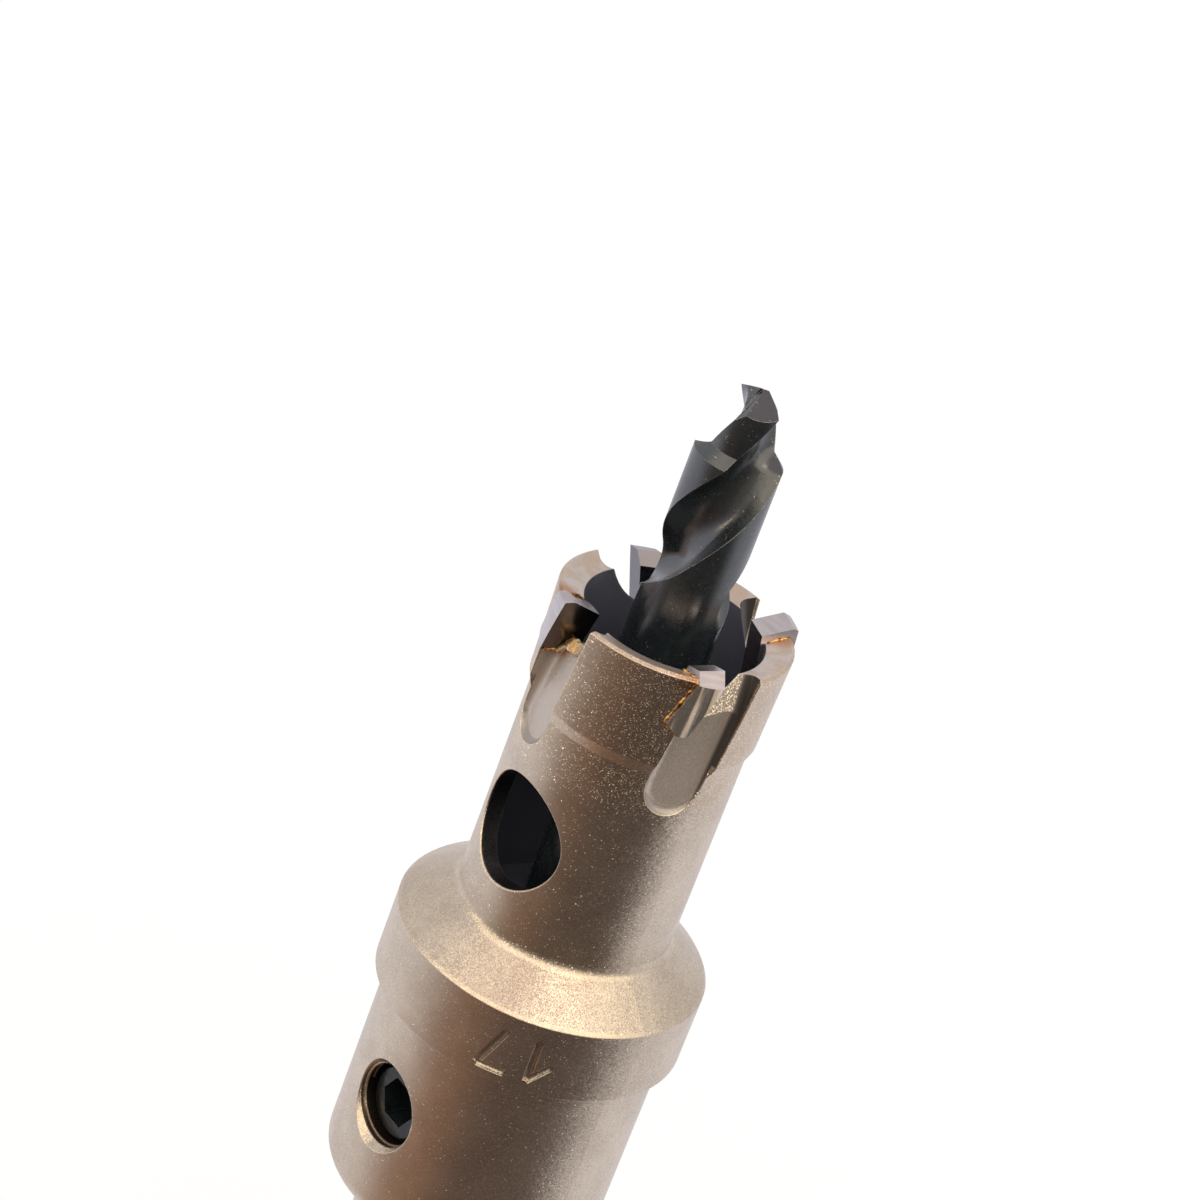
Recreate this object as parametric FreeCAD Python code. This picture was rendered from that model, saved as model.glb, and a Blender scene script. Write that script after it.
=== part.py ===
import FreeCAD, Part
import math
import os

# Hole saw with a one-piece shank, body, collar and toothed cup, four brazed
# carbide tips, a step pilot drill and the set screw that clamps the drill.
# Units are millimetres. Z runs along the axis towards the teeth, and the origin
# is on the axis at the body's underside, where the shank begins. The side window
# and the set screw face -Y. Azimuths are counter-clockwise seen from the teeth.

V = FreeCAD.Vector

# Shank
SHANK_R = 6.5
SHANK_LENGTH = 28.0
SHANK_END_CHAMFER = 0.8
FLAT_COUNT = 3
FLAT_LENGTH = 12.0
FLAT_DEPTH = 0.55

# Lower body and collar
BODY_R = 10.0
BODY_LENGTH = 16.0
BODY_CORNER_R = 1.65
COLLAR_R = 11.0
COLLAR_LENGTH = 5.55
COLLAR_EDGE_DROP = 0.085   # start of the edge chamfer below the collar's top
COLLAR_EDGE_TILT = 40.0    # the chamfer faces upwards by this angle
COLLAR_FOOT_CHAMFER = 0.15

# Sloping shoulder, neck and head of the cup
SHOULDER_ANGLE = 37.2
SHOULDER_FILLET_R = 1.0
NECK_R = 7.585
HEAD_START = 18.6          # above the collar's top edge
HEAD_STEP_HEIGHT = 0.9
HEAD_R = 7.93
HEAD_FLARE = 0.03          # radius gained for each millimetre of height
RIM_HEIGHT = 25.85         # bore's edge above the collar's top edge
RIM_DISH_ANGLE = 18.5      # rim rises outwards from the bore
RIM_CHAMFER = 0.26         # along each side of the rim's outer edge

# Inside of the cup
BORE_R = 6.25
BORE_FLOOR_HEIGHT = 1.5    # above the collar's top edge

# Window through one side of the cup
WINDOW_R = 4.0
WINDOW_HEIGHT = 9.82       # above the collar's top edge
WINDOW_EDGE_BREAK = 0.08

# Set screw and its hole
SCREW_HEIGHT = 8.45        # above the body's underside
SCREW_R = 2.9
SCREW_CLEARANCE = 0.05
SCREW_LENGTH = 6.0
SCREW_TOP_CHAMFER = 0.45
SCREW_POINT_CHAMFER = 0.8
SOCKET_WIDTH = 3.0         # across the flats of the hexagon socket
SOCKET_DEPTH = 2.6
SCREW_MOUTH_WIDTH = 0.45   # countersink of the hole's lip
SCREW_MOUTH_DEPTH = 0.55   # its depth below the lower body's surface

# Pilot drill
DRILL_R = 3.0
DRILL_TOP = 65.0           # point of the drill above the body's underside
DRILL_SEAT_HEIGHT = 2.5    # end of its hole above the body's underside
DRILL_CLEARANCE = 0.02
DRILL_END_CHAMFER = 0.4
DRILL_FLAT_DEPTH = 0.5
DRILL_FLAT_LENGTH = 12.0
DRILL_STEP_R = 2.25
DRILL_STEP_DEPTH = 4.25    # from the point down to the top of the step cone
STEP_HEEL_TURN = 17.0      # extra width of the flutes above the step
STEP_HEEL_BELOW = 0.7      # how far below the step cone it begins
DRILL_LIP_AZIMUTH = -5.3
DRILL_LIP_DROP = 1.15      # from the point down to a lip's outer corner
PRIMARY_SWEEP = 52.0       # how far the primary flank reaches behind the lip
PRIMARY_DROP = 1.25        # from the point down to the end of the primary flank
SECONDARY_SWEEP = 88.0
SECONDARY_DROP = 2.65
CHISEL_HALF = 0.2          # half of the web left by the gashes at the point
GASH_DEPTH = 1.3
GASH_ANGLE = 40.0
FLUTE_LEAD = 27.07
FLUTE_AZIMUTH = 58.4       # of the first flute at the height of the point
FLUTE_R = 2.7
FLUTE_CORE_R = 0.95
FLUTE_FULL_DEPTH = 13.75   # from the point down to where the run-out begins
FLUTE_RUNOUT = 3.1
FLUTE_RUNOUT_RISE = 2.0
RUNOUT_SECTIONS = 4

# Teeth and gullets, placed from each cutting edge
TOOTH_COUNT = 4
TOOTH_AZIMUTH = -102.6     # cutting edge of the first tooth
GULLET_TURN = -6.77        # gullet's direction from the cutting edge, in degrees
GULLET_FLOOR = 7.03        # distance of the floor from the axis at the round end
GULLET_FLOOR_TILT = 5.14
GULLET_LEAN = 6.81
GULLET_SHIFT = 0.41        # sideways, towards the next tooth
GULLET_END_DEPTH = 8.26    # centre of the round end below the rim
GULLET_R = 2.13
GULLET_CORNER_R = 0.8
GULLET_CUT_HEIGHT = 8.0    # from its floor outwards, well clear of the head
GULLET_OVERRUN = 4.0       # past the rim
THROAT_TURN = -13.26       # steeper upper facet that opens into the bore
THROAT_FLOOR = 6.37
THROAT_DEPTH = 2.91        # height of that distance below the rim
THROAT_TILT = 19.68
THROAT_CUT_BELOW = 5.0     # inwards from the gullet's floor
THROAT_CUT_ABOVE = 9.0     # outwards from it

# Carbide tips: what the four share
TIP_LEAN = 17.5
TIP_BOTTOM_DEPTH = 3.71    # lower end below the rim
TIP_BACK_DEPTH = 2.95      # lower end of the back face below the rim
TIP_SOLE_LENGTH = 0.66     # flat stretch of the lower end
TIP_BLANK_TOP = 2.2        # height of the unground blank above the rim
TIP_SEAT_INNER_R = 5.2
TIP_SEAT_OUTER_R = 9.2
TIP_RELIEF = 3.7           # tops fall by this angle towards the back
TIP_SIDE_RELIEF = 1.5      # outer faces fall inwards below the cutting edge
TIP_EDGE_HEIGHT = 1.15     # height above the rim where the face meets its azimuth

# Carbide tips: the grind of each one, with heights above the rim
TIP_1_THICKNESS = 1.5
TIP_1_OUTER_R = 8.38
TIP_1_OUTER_HEIGHT = 0.72
TIP_1_PEAK_R = 7.7
TIP_1_PEAK_HEIGHT = 0.82
TIP_1_INNER_R = 5.4
TIP_1_INNER_HEIGHT = -0.15
TIP_2_THICKNESS = 1.72
TIP_2_OUTER_R = 8.4
TIP_2_OUTER_HEIGHT = 0.26
TIP_2_PEAK_R = 7.28
TIP_2_PEAK_HEIGHT = 1.02
TIP_2_INNER_R = 6.1
TIP_2_INNER_HEIGHT = 0.67
TIP_3_THICKNESS = 1.7
TIP_3_OUTER_R = 8.42
TIP_3_OUTER_HEIGHT = 0.98
TIP_3_PEAK_R = 7.89
TIP_3_PEAK_HEIGHT = 1.18
TIP_3_INNER_R = 5.5
TIP_3_INNER_HEIGHT = 0.59
TIP_4_THICKNESS = 1.74
TIP_4_OUTER_R = 8.44
TIP_4_OUTER_HEIGHT = 0.5
TIP_4_PEAK_R = 7.3
TIP_4_PEAK_HEIGHT = 0.86
TIP_4_INNER_R = 6.65
TIP_4_INNER_HEIGHT = 0.0

# How far a cut runs past the surface that it opens
OVERCUT = 1.0

# Size of the blocks that stand for one side of a plane
HALF_SPACE_WIDTH = 40.0
HALF_SPACE_DEPTH = 20.0

# Distance within which an edge counts as lying on a surface
NEAR = 0.01

# Heights and places that follow from the sizes above
COLLAR_TOP = BODY_LENGTH + COLLAR_LENGTH
RIM_Z = COLLAR_TOP + RIM_HEIGHT
BORE_FLOOR_Z = COLLAR_TOP + BORE_FLOOR_HEIGHT
WINDOW_Z = COLLAR_TOP + WINDOW_HEIGHT
DRILL_FLAT_Y = DRILL_R - DRILL_FLAT_DEPTH
FLUTE_CENTRE = FLUTE_CORE_R + FLUTE_R
TOOTH_PITCH = 360.0 / TOOTH_COUNT


def polar(radius, azimuth, z=0.0):
    """Point at a radius, an azimuth in degrees and a height."""
    angle = math.radians(azimuth)
    return V(radius * math.cos(angle), radius * math.sin(angle), z)


def revolve(points):
    """Solid of revolution about Z from (radius, height) corners."""
    wire = Part.makePolygon([V(r, 0, z) for r, z in points + points[:1]])
    return Part.Face(wire).revolve(V(0, 0, 0), V(0, 0, 1), 360)


def placed(shape, origin, x_axis, y_axis, z_axis):
    """Move a shape from the global axes to a frame of its own."""
    matrix = FreeCAD.Matrix(
        x_axis.x, y_axis.x, z_axis.x, origin.x,
        x_axis.y, y_axis.y, z_axis.y, origin.y,
        x_axis.z, y_axis.z, z_axis.z, origin.z,
        0, 0, 0, 1,
    )
    shape.Placement = FreeCAD.Placement(matrix)
    return shape


def side_of_plane(point, normal):
    """Block that lies on the side of a plane its normal points to."""
    width = HALF_SPACE_WIDTH
    block = Part.makeBox(width, width, HALF_SPACE_DEPTH, V(-width / 2, -width / 2, 0))
    block.Placement = FreeCAD.Placement(point, FreeCAD.Rotation(V(0, 0, 1), normal))
    return block


def edges_where(shape, test):
    """Edges whose middle point passes a test."""
    found = []
    for edge in shape.Edges:
        first, last = edge.ParameterRange
        if test(edge.valueAt((first + last) / 2.0)):
            found.append(edge)
    return found


def outer_corners():
    """Body's outside from the shank's end to the rim: (radius, height, rounding)."""
    slope = math.tan(math.radians(SHOULDER_ANGLE))
    edge_slope = 1.0 / math.tan(math.radians(COLLAR_EDGE_TILT))
    edge_width = COLLAR_EDGE_DROP / (edge_slope - slope)
    neck_corner = COLLAR_TOP + (COLLAR_R - NECK_R) * slope
    dish = math.radians(RIM_DISH_ANGLE)
    return [
        (0.0, -SHANK_LENGTH, 0.0),
        (SHANK_R - SHANK_END_CHAMFER, -SHANK_LENGTH, 0.0),
        (SHANK_R, -SHANK_LENGTH + SHANK_END_CHAMFER, 0.0),
        (SHANK_R, 0.0, 0.0),
        (BODY_R, 0.0, BODY_CORNER_R),
        (BODY_R, BODY_LENGTH, 0.0),
        (COLLAR_R - COLLAR_FOOT_CHAMFER, BODY_LENGTH, 0.0),
        (COLLAR_R, BODY_LENGTH + COLLAR_FOOT_CHAMFER, 0.0),
        (COLLAR_R, COLLAR_TOP - COLLAR_EDGE_DROP, 0.0),
        (COLLAR_R - edge_width, COLLAR_TOP + edge_width * slope, 0.0),
        (NECK_R, neck_corner, SHOULDER_FILLET_R),
        (NECK_R, COLLAR_TOP + HEAD_START, 0.0),
        (HEAD_R, COLLAR_TOP + HEAD_START + HEAD_STEP_HEIGHT, 0.0),
        (rim_radius(), rim_crest() - RIM_CHAMFER, 0.0),
        (rim_radius() - RIM_CHAMFER * math.cos(dish), rim_crest() - RIM_CHAMFER * math.sin(dish), 0.0),
        (BORE_R, RIM_Z, 0.0),
        (0.0, RIM_Z, 0.0),
    ]


def rim_radius():
    """Outer radius of the flared head at the rim."""
    flare_height = RIM_HEIGHT - HEAD_START - HEAD_STEP_HEIGHT
    return HEAD_R + HEAD_FLARE * flare_height


def rim_crest():
    """Height of the dished rim at the head's outside, before it is chamfered."""
    return RIM_Z + (rim_radius() - BORE_R) * math.tan(math.radians(RIM_DISH_ANGLE))


def rounding_arc(before, corner, after, radius):
    """Start, middle and end of the arc that rounds an outline's corner."""
    back = (before - corner).normalize()
    ahead = (after - corner).normalize()
    half = back.getAngle(ahead) / 2.0
    inward = (back + ahead).normalize()
    reach = radius / math.tan(half)
    middle = corner + inward * (radius / math.sin(half) - radius)
    return [corner + back * reach, middle, corner + ahead * reach]


def revolve_rounded(corners):
    """Solid of revolution about Z from (radius, height, rounding) corners."""
    points = [V(r, 0, z) for r, z, rounding in corners]
    runs = []
    for index, (r, z, rounding) in enumerate(corners):
        following = points[(index + 1) % len(points)]
        if rounding > 0:
            runs.append(rounding_arc(points[index - 1], points[index], following, rounding))
        else:
            runs.append([points[index]])
    edges = []
    for index, run in enumerate(runs):
        if len(run) > 1:
            edges.append(Part.Arc(run[0], run[1], run[2]).toShape())
        following = runs[(index + 1) % len(runs)][0]
        edges.append(Part.LineSegment(run[-1], following).toShape())
    return Part.Face(Part.Wire(edges)).revolve(V(0, 0, 0), V(0, 0, 1), 360)


def shank_flats():
    """Blocks that cut the three chuck flats."""
    flats = []
    for index in range(FLAT_COUNT):
        azimuth = 90.0 + index * 360.0 / FLAT_COUNT
        block = Part.makeBox(
            FLAT_DEPTH + OVERCUT, 4 * SHANK_R, FLAT_LENGTH + OVERCUT,
            V(SHANK_R - FLAT_DEPTH, -2 * SHANK_R, -SHANK_LENGTH - OVERCUT),
        )
        block.rotate(V(0, 0, 0), V(0, 0, 1), azimuth)
        flats.append(block)
    return flats


def cup_bore():
    """Inside of the cup."""
    return Part.makeCylinder(BORE_R, RIM_HEIGHT, V(0, 0, BORE_FLOOR_Z))


def drill_hole():
    """Hole that holds the pilot drill's shank."""
    depth = BORE_FLOOR_Z - DRILL_SEAT_HEIGHT + OVERCUT
    return Part.makeCylinder(DRILL_R + DRILL_CLEARANCE, depth, V(0, 0, DRILL_SEAT_HEIGHT))


def window_hole():
    """Round window through the cup's -Y wall."""
    return Part.makeCylinder(WINDOW_R, BODY_R, V(0, 0, WINDOW_Z), V(0, -1, 0))


def break_window_edge(body):
    """Small chamfer round the outside of the window."""
    def on_outer_edge(p):
        across = math.hypot(p.x, p.z - WINDOW_Z)
        outside = abs(math.hypot(p.x, p.y) - NECK_R) < NEAR
        return outside and p.y < 0 and abs(across - WINDOW_R) < NEAR

    return body.makeChamfer(WINDOW_EDGE_BREAK, edges_where(body, on_outer_edge))


def screw_hole():
    """Set screw hole from the lower body's -Y side into the drill's hole."""
    radius = SCREW_R + SCREW_CLEARANCE
    return Part.makeCylinder(radius, 2 * BODY_R, V(0, 0, SCREW_HEIGHT), V(0, -1, 0))


def screw_mouth():
    """Conical countersink where the set screw's hole opens."""
    hole_r = SCREW_R + SCREW_CLEARANCE
    slope = SCREW_MOUTH_WIDTH / SCREW_MOUTH_DEPTH
    height = 2 * SCREW_MOUTH_DEPTH
    start = V(0, -(BODY_R - SCREW_MOUTH_DEPTH), SCREW_HEIGHT)
    return Part.makeCone(hole_r, hole_r + height * slope, height, start, V(0, -1, 0))


def gullet_frame(azimuth):
    """Origin and axes of a gullet: across, along and out of its floor."""
    outward = polar(1.0, azimuth + GULLET_TURN)
    sideways = V(-outward.y, outward.x, 0)
    up = V(0, 0, 1)
    tilt = math.radians(GULLET_FLOOR_TILT)
    normal = outward * math.cos(tilt) + up * math.sin(tilt)
    along = up - normal * up.dot(normal)
    along.normalize()
    across = along.cross(normal)
    lean = math.radians(GULLET_LEAN)
    leaned = along * math.cos(lean) + across * math.sin(lean)
    crosswise = across * math.cos(lean) - along * math.sin(lean)
    origin = outward * GULLET_FLOOR + up * (RIM_Z - GULLET_END_DEPTH) + sideways * GULLET_SHIFT
    return origin, crosswise, leaned, normal


def slot_outline(length):
    """Face of a slot with one round end at the origin, open along +Y."""
    r = GULLET_R
    arc = Part.Arc(V(-r, 0, 0), V(0, -r, 0), V(r, 0, 0)).toShape()
    rest = Part.makePolygon([V(r, 0, 0), V(r, length, 0), V(-r, length, 0), V(-r, 0, 0)])
    return Part.Face(Part.Wire([arc] + rest.Edges))


def gullet_cut(azimuth):
    """Round-ended mill cut in front of one tooth, with rounded floor corners."""
    length = GULLET_END_DEPTH + GULLET_OVERRUN
    tool = slot_outline(length).extrude(V(0, 0, GULLET_CUT_HEIGHT))

    def on_floor(p):
        return abs(p.z) < NEAR and p.y < length - NEAR

    tool = tool.makeFillet(GULLET_CORNER_R, edges_where(tool, on_floor))
    origin, across, along, normal = gullet_frame(azimuth)
    return placed(tool, origin, across, along, normal)


def throat_cut(azimuth):
    """Steeper facet at the gullet's top that opens into the bore."""
    origin, across, along, normal = gullet_frame(azimuth)
    height = GULLET_END_DEPTH + GULLET_OVERRUN
    depth = THROAT_CUT_BELOW + THROAT_CUT_ABOVE
    tool = Part.makeBox(2 * GULLET_R, height, depth, V(-GULLET_R, 0, -THROAT_CUT_BELOW))
    tool = placed(tool, origin, across, along, normal)
    outward = polar(1.0, azimuth + THROAT_TURN)
    tilt = math.radians(THROAT_TILT)
    facet_normal = outward * math.cos(tilt) + V(0, 0, math.sin(tilt))
    point = outward * THROAT_FLOOR + V(0, 0, RIM_Z - THROAT_DEPTH)
    tool = tool.cut(side_of_plane(point, facet_normal * -1.0))

    def on_facet_corner(p):
        on_facet = abs((p - point).dot(facet_normal)) < NEAR
        on_wall = abs(abs((p - origin).dot(across)) - GULLET_R) < NEAR
        return on_facet and on_wall

    return tool.makeFillet(GULLET_CORNER_R, edges_where(tool, on_facet_corner))


def tip_side_outline(thickness):
    """Tip seen along the radius: (sideways, height) corners of the blank."""
    lean = math.tan(math.radians(TIP_LEAN))
    back = thickness / math.cos(math.radians(TIP_LEAN))
    edge = RIM_Z + TIP_EDGE_HEIGHT
    top = RIM_Z + TIP_BLANK_TOP
    bottom = RIM_Z - TIP_BOTTOM_DEPTH
    heel = RIM_Z - TIP_BACK_DEPTH
    front_bottom = (bottom - edge) * lean
    return [
        ((top - edge) * lean, top),
        (front_bottom, bottom),
        (front_bottom - TIP_SOLE_LENGTH, bottom),
        ((heel - edge) * lean - back, heel),
        ((top - edge) * lean - back, top),
    ]


def tip_blank(azimuth, thickness, inner_r, outer_r):
    """Leaning block through the cup's wall at one tooth."""
    outward = polar(1.0, azimuth)
    sideways = V(-outward.y, outward.x, 0)
    corners = []
    for side, height in tip_side_outline(thickness):
        corners.append(outward * inner_r + sideways * side + V(0, 0, height))
    wire = Part.makePolygon(corners + corners[:1])
    return Part.Face(wire).extrude(outward * (outer_r - inner_r))


def cutter_body():
    """Shank, body, collar and toothed cup in one piece."""
    body = revolve_rounded(outer_corners())
    cuts = shank_flats()
    cuts += [cup_bore(), drill_hole(), window_hole(), screw_hole(), screw_mouth()]
    body = break_window_edge(body.cut(cuts))
    thicknesses = [TIP_1_THICKNESS, TIP_2_THICKNESS, TIP_3_THICKNESS, TIP_4_THICKNESS]
    for index, thickness in enumerate(thicknesses):
        azimuth = TOOTH_AZIMUTH + index * TOOTH_PITCH
        body = body.cut(gullet_cut(azimuth))
        body = body.cut(throat_cut(azimuth))
        body = body.cut(tip_blank(azimuth, thickness, TIP_SEAT_INNER_R, TIP_SEAT_OUTER_R))
    return body.removeSplitter()


def top_facet(azimuth, r_a, height_a, r_b, height_b):
    """Block above a ground facet through two points of the cutting edge."""
    outward = polar(1.0, azimuth)
    sideways = V(-outward.y, outward.x, 0)
    a = outward * r_a + V(0, 0, RIM_Z + height_a)
    b = outward * r_b + V(0, 0, RIM_Z + height_b)
    backward = sideways * -1.0 - V(0, 0, math.tan(math.radians(TIP_RELIEF)))
    normal = backward.cross(b - a)
    if normal.z < 0:
        normal = normal * -1.0
    return side_of_plane(a, normal)


def side_relief(outer_r):
    """Slightly conical envelope of a tip's outer face."""
    low = RIM_Z - TIP_BOTTOM_DEPTH - OVERCUT
    high = RIM_Z + TIP_BLANK_TOP + OVERCUT
    slope = math.tan(math.radians(TIP_SIDE_RELIEF))
    low_r = outer_r - (RIM_Z + TIP_EDGE_HEIGHT - low) * slope
    high_r = outer_r + (high - RIM_Z - TIP_EDGE_HEIGHT) * slope
    return revolve([(0.0, low), (low_r, low), (high_r, high), (0.0, high)])


def carbide_tip(index, thickness, outer, peak, inner):
    """One tip: its blank trimmed round and ground by its top facets."""
    azimuth = TOOTH_AZIMUTH + index * TOOTH_PITCH
    outer_r, outer_height = outer
    peak_r, peak_height = peak
    inner_r, inner_height = inner
    tip = tip_blank(azimuth, thickness, inner_r, TIP_SEAT_OUTER_R)
    tip = tip.common(side_relief(outer_r))
    tip = tip.cut(top_facet(azimuth, outer_r, outer_height, peak_r, peak_height))
    tip = tip.cut(top_facet(azimuth, peak_r, peak_height, inner_r, inner_height))
    return tip.removeSplitter()


def carbide_tips():
    """The four tips, each with its own grind."""
    return [
        carbide_tip(
            0, TIP_1_THICKNESS, (TIP_1_OUTER_R, TIP_1_OUTER_HEIGHT),
            (TIP_1_PEAK_R, TIP_1_PEAK_HEIGHT), (TIP_1_INNER_R, TIP_1_INNER_HEIGHT),
        ),
        carbide_tip(
            1, TIP_2_THICKNESS, (TIP_2_OUTER_R, TIP_2_OUTER_HEIGHT),
            (TIP_2_PEAK_R, TIP_2_PEAK_HEIGHT), (TIP_2_INNER_R, TIP_2_INNER_HEIGHT),
        ),
        carbide_tip(
            2, TIP_3_THICKNESS, (TIP_3_OUTER_R, TIP_3_OUTER_HEIGHT),
            (TIP_3_PEAK_R, TIP_3_PEAK_HEIGHT), (TIP_3_INNER_R, TIP_3_INNER_HEIGHT),
        ),
        carbide_tip(
            3, TIP_4_THICKNESS, (TIP_4_OUTER_R, TIP_4_OUTER_HEIGHT),
            (TIP_4_PEAK_R, TIP_4_PEAK_HEIGHT), (TIP_4_INNER_R, TIP_4_INNER_HEIGHT),
        ),
    ]


def drill_blank():
    """Turned drill with its step, before flutes and point are ground."""
    step_top = DRILL_TOP - DRILL_STEP_DEPTH
    step_bottom = step_top - (DRILL_R - DRILL_STEP_R)
    return revolve([
        (0.0, DRILL_SEAT_HEIGHT),
        (DRILL_R - DRILL_END_CHAMFER, DRILL_SEAT_HEIGHT),
        (DRILL_R, DRILL_SEAT_HEIGHT + DRILL_END_CHAMFER),
        (DRILL_R, step_bottom),
        (DRILL_STEP_R, step_top),
        (DRILL_STEP_R, DRILL_TOP),
        (0.0, DRILL_TOP),
    ])


def flute_circle(distance, turn, z):
    """Level circle of a flute at a distance from the axis."""
    wire = Part.Wire([Part.Circle(V(0, 0, 0), V(0, 0, 1), FLUTE_R).toShape()])
    wire.translate(V(distance, 0, z))
    wire.rotate(V(0, 0, 0), V(0, 0, 1), turn)
    return wire


def flute_turn(azimuth, z):
    """Azimuth of a flute at a height, from its azimuth at the point."""
    return azimuth + (z - DRILL_TOP) * 360.0 / FLUTE_LEAD


def flute_helix(azimuth):
    """Full-depth part of one flute, swept along its helix."""
    full = DRILL_TOP - FLUTE_FULL_DEPTH
    helix = Part.makeHelix(FLUTE_LEAD, FLUTE_FULL_DEPTH + OVERCUT, FLUTE_CENTRE)
    section = flute_circle(FLUTE_CENTRE, 0.0, 0.0)
    flute = Part.Wire(helix.Edges).makePipeShell([section], True, True)
    flute.translate(V(0, 0, full))
    flute.rotate(V(0, 0, 0), V(0, 0, 1), flute_turn(azimuth, full))
    return flute


def flute_runout(azimuth):
    """Lower end of one flute, where it rises out of the drill."""
    full = DRILL_TOP - FLUTE_FULL_DEPTH
    sections = []
    for step in range(RUNOUT_SECTIONS):
        below = 1.0 - step / (RUNOUT_SECTIONS - 1.0)
        z = full - FLUTE_RUNOUT * below
        distance = FLUTE_CENTRE + FLUTE_RUNOUT_RISE * below * below
        sections.append(flute_circle(distance, flute_turn(azimuth, z), z))
    return Part.makeLoft(sections, True, False)


def step_heel_cut(azimuth):
    """Second pass that widens one flute at the heel above the step."""
    start = DRILL_TOP - DRILL_STEP_DEPTH - (DRILL_R - DRILL_STEP_R) - STEP_HEEL_BELOW
    helix = Part.makeHelix(FLUTE_LEAD, DRILL_TOP + OVERCUT - start, FLUTE_CENTRE)
    section = flute_circle(FLUTE_CENTRE, 0.0, 0.0)
    pass_cut = Part.Wire(helix.Edges).makePipeShell([section], True, True)
    pass_cut.translate(V(0, 0, start))
    turn = flute_turn(azimuth, start) + STEP_HEEL_TURN
    pass_cut.rotate(V(0, 0, 0), V(0, 0, 1), turn)
    return pass_cut


def gash_cut(azimuth):
    """Notch that thins the web in front of one lip at the point."""
    forward = polar(1.0, azimuth + 90.0)
    top = V(0, 0, DRILL_TOP)
    ahead = side_of_plane(top + forward * CHISEL_HALF, forward)
    tilt = math.radians(GASH_ANGLE)
    floor_normal = V(0, 0, math.cos(tilt)) - forward * math.sin(tilt)
    floor_point = forward * CHISEL_HALF + V(0, 0, DRILL_TOP - GASH_DEPTH)
    return ahead.common(side_of_plane(floor_point, floor_normal))


def flank_cut(azimuth, sweep_a, drop_a, sweep_b, drop_b):
    """Block above one ground flank on its own half of the point."""
    point = V(0, 0, DRILL_TOP)
    a = polar(DRILL_STEP_R, azimuth - sweep_a, DRILL_TOP - drop_a)
    b = polar(DRILL_STEP_R, azimuth - sweep_b, DRILL_TOP - drop_b)
    normal = (a - point).cross(b - point)
    if normal.z < 0:
        normal = normal * -1.0
    block = side_of_plane(point, normal)
    half = polar(1.0, azimuth - PRIMARY_SWEEP / 2.0)
    return block.common(side_of_plane(V(0, 0, DRILL_TOP), half))


def pilot_drill():
    """Step pilot drill with two flutes, a four-facet point and a clamp flat."""
    drill = drill_blank()
    for half_turn in (0.0, 180.0):
        drill = drill.cut(flute_helix(FLUTE_AZIMUTH + half_turn))
        drill = drill.cut(flute_runout(FLUTE_AZIMUTH + half_turn))
        drill = drill.cut(step_heel_cut(FLUTE_AZIMUTH + half_turn))
    for half_turn in (0.0, 180.0):
        lip = DRILL_LIP_AZIMUTH + half_turn
        drill = drill.cut(flank_cut(lip, 0.0, DRILL_LIP_DROP, PRIMARY_SWEEP, PRIMARY_DROP))
        drill = drill.cut(
            flank_cut(lip, PRIMARY_SWEEP, PRIMARY_DROP, SECONDARY_SWEEP, SECONDARY_DROP)
        )
        drill = drill.cut(gash_cut(lip))
    flat = Part.makeBox(
        4 * DRILL_R, DRILL_R, DRILL_FLAT_LENGTH + OVERCUT,
        V(-2 * DRILL_R, -DRILL_FLAT_Y - DRILL_R, DRILL_SEAT_HEIGHT - OVERCUT),
    )
    return drill.cut(flat).removeSplitter()


def set_screw():
    """Socket set screw whose flat point rests on the drill's flat."""
    profile = revolve([
        (0.0, 0.0),
        (SCREW_R - SCREW_POINT_CHAMFER, 0.0),
        (SCREW_R, SCREW_POINT_CHAMFER),
        (SCREW_R, SCREW_LENGTH - SCREW_TOP_CHAMFER),
        (SCREW_R - SCREW_TOP_CHAMFER, SCREW_LENGTH),
        (0.0, SCREW_LENGTH),
    ])
    corner_r = SOCKET_WIDTH / 2.0 / math.cos(math.radians(30.0))
    corners = [polar(corner_r, 60.0 * k, SCREW_LENGTH - SOCKET_DEPTH) for k in range(7)]
    socket = Part.Face(Part.makePolygon(corners)).extrude(V(0, 0, SOCKET_DEPTH + OVERCUT))
    screw = profile.cut(socket)
    origin = V(0, -DRILL_FLAT_Y, SCREW_HEIGHT)
    return placed(screw, origin, V(1, 0, 0), V(0, 0, 1), V(0, -1, 0))


def export(shape, name):
    """Write one node as a STEP file."""
    shape.exportStep(os.path.join("parts", name + ".step"))


def main():
    os.makedirs("parts", exist_ok=True)
    export(cutter_body(), "cutter_body")
    for number, tip in enumerate(carbide_tips(), start=1):
        export(tip, "carbide_tip_%d" % number)
    export(pilot_drill(), "pilot_drill")
    export(set_screw(), "set_screw")


main()
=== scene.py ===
import logging
import math
from dataclasses import dataclass
from enum import Enum
from functools import cached_property

import bmesh
import bpy
from mathutils import Matrix, Vector
from mathutils.bvhtree import BVHTree
from mathutils.geometry import barycentric_transform


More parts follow.
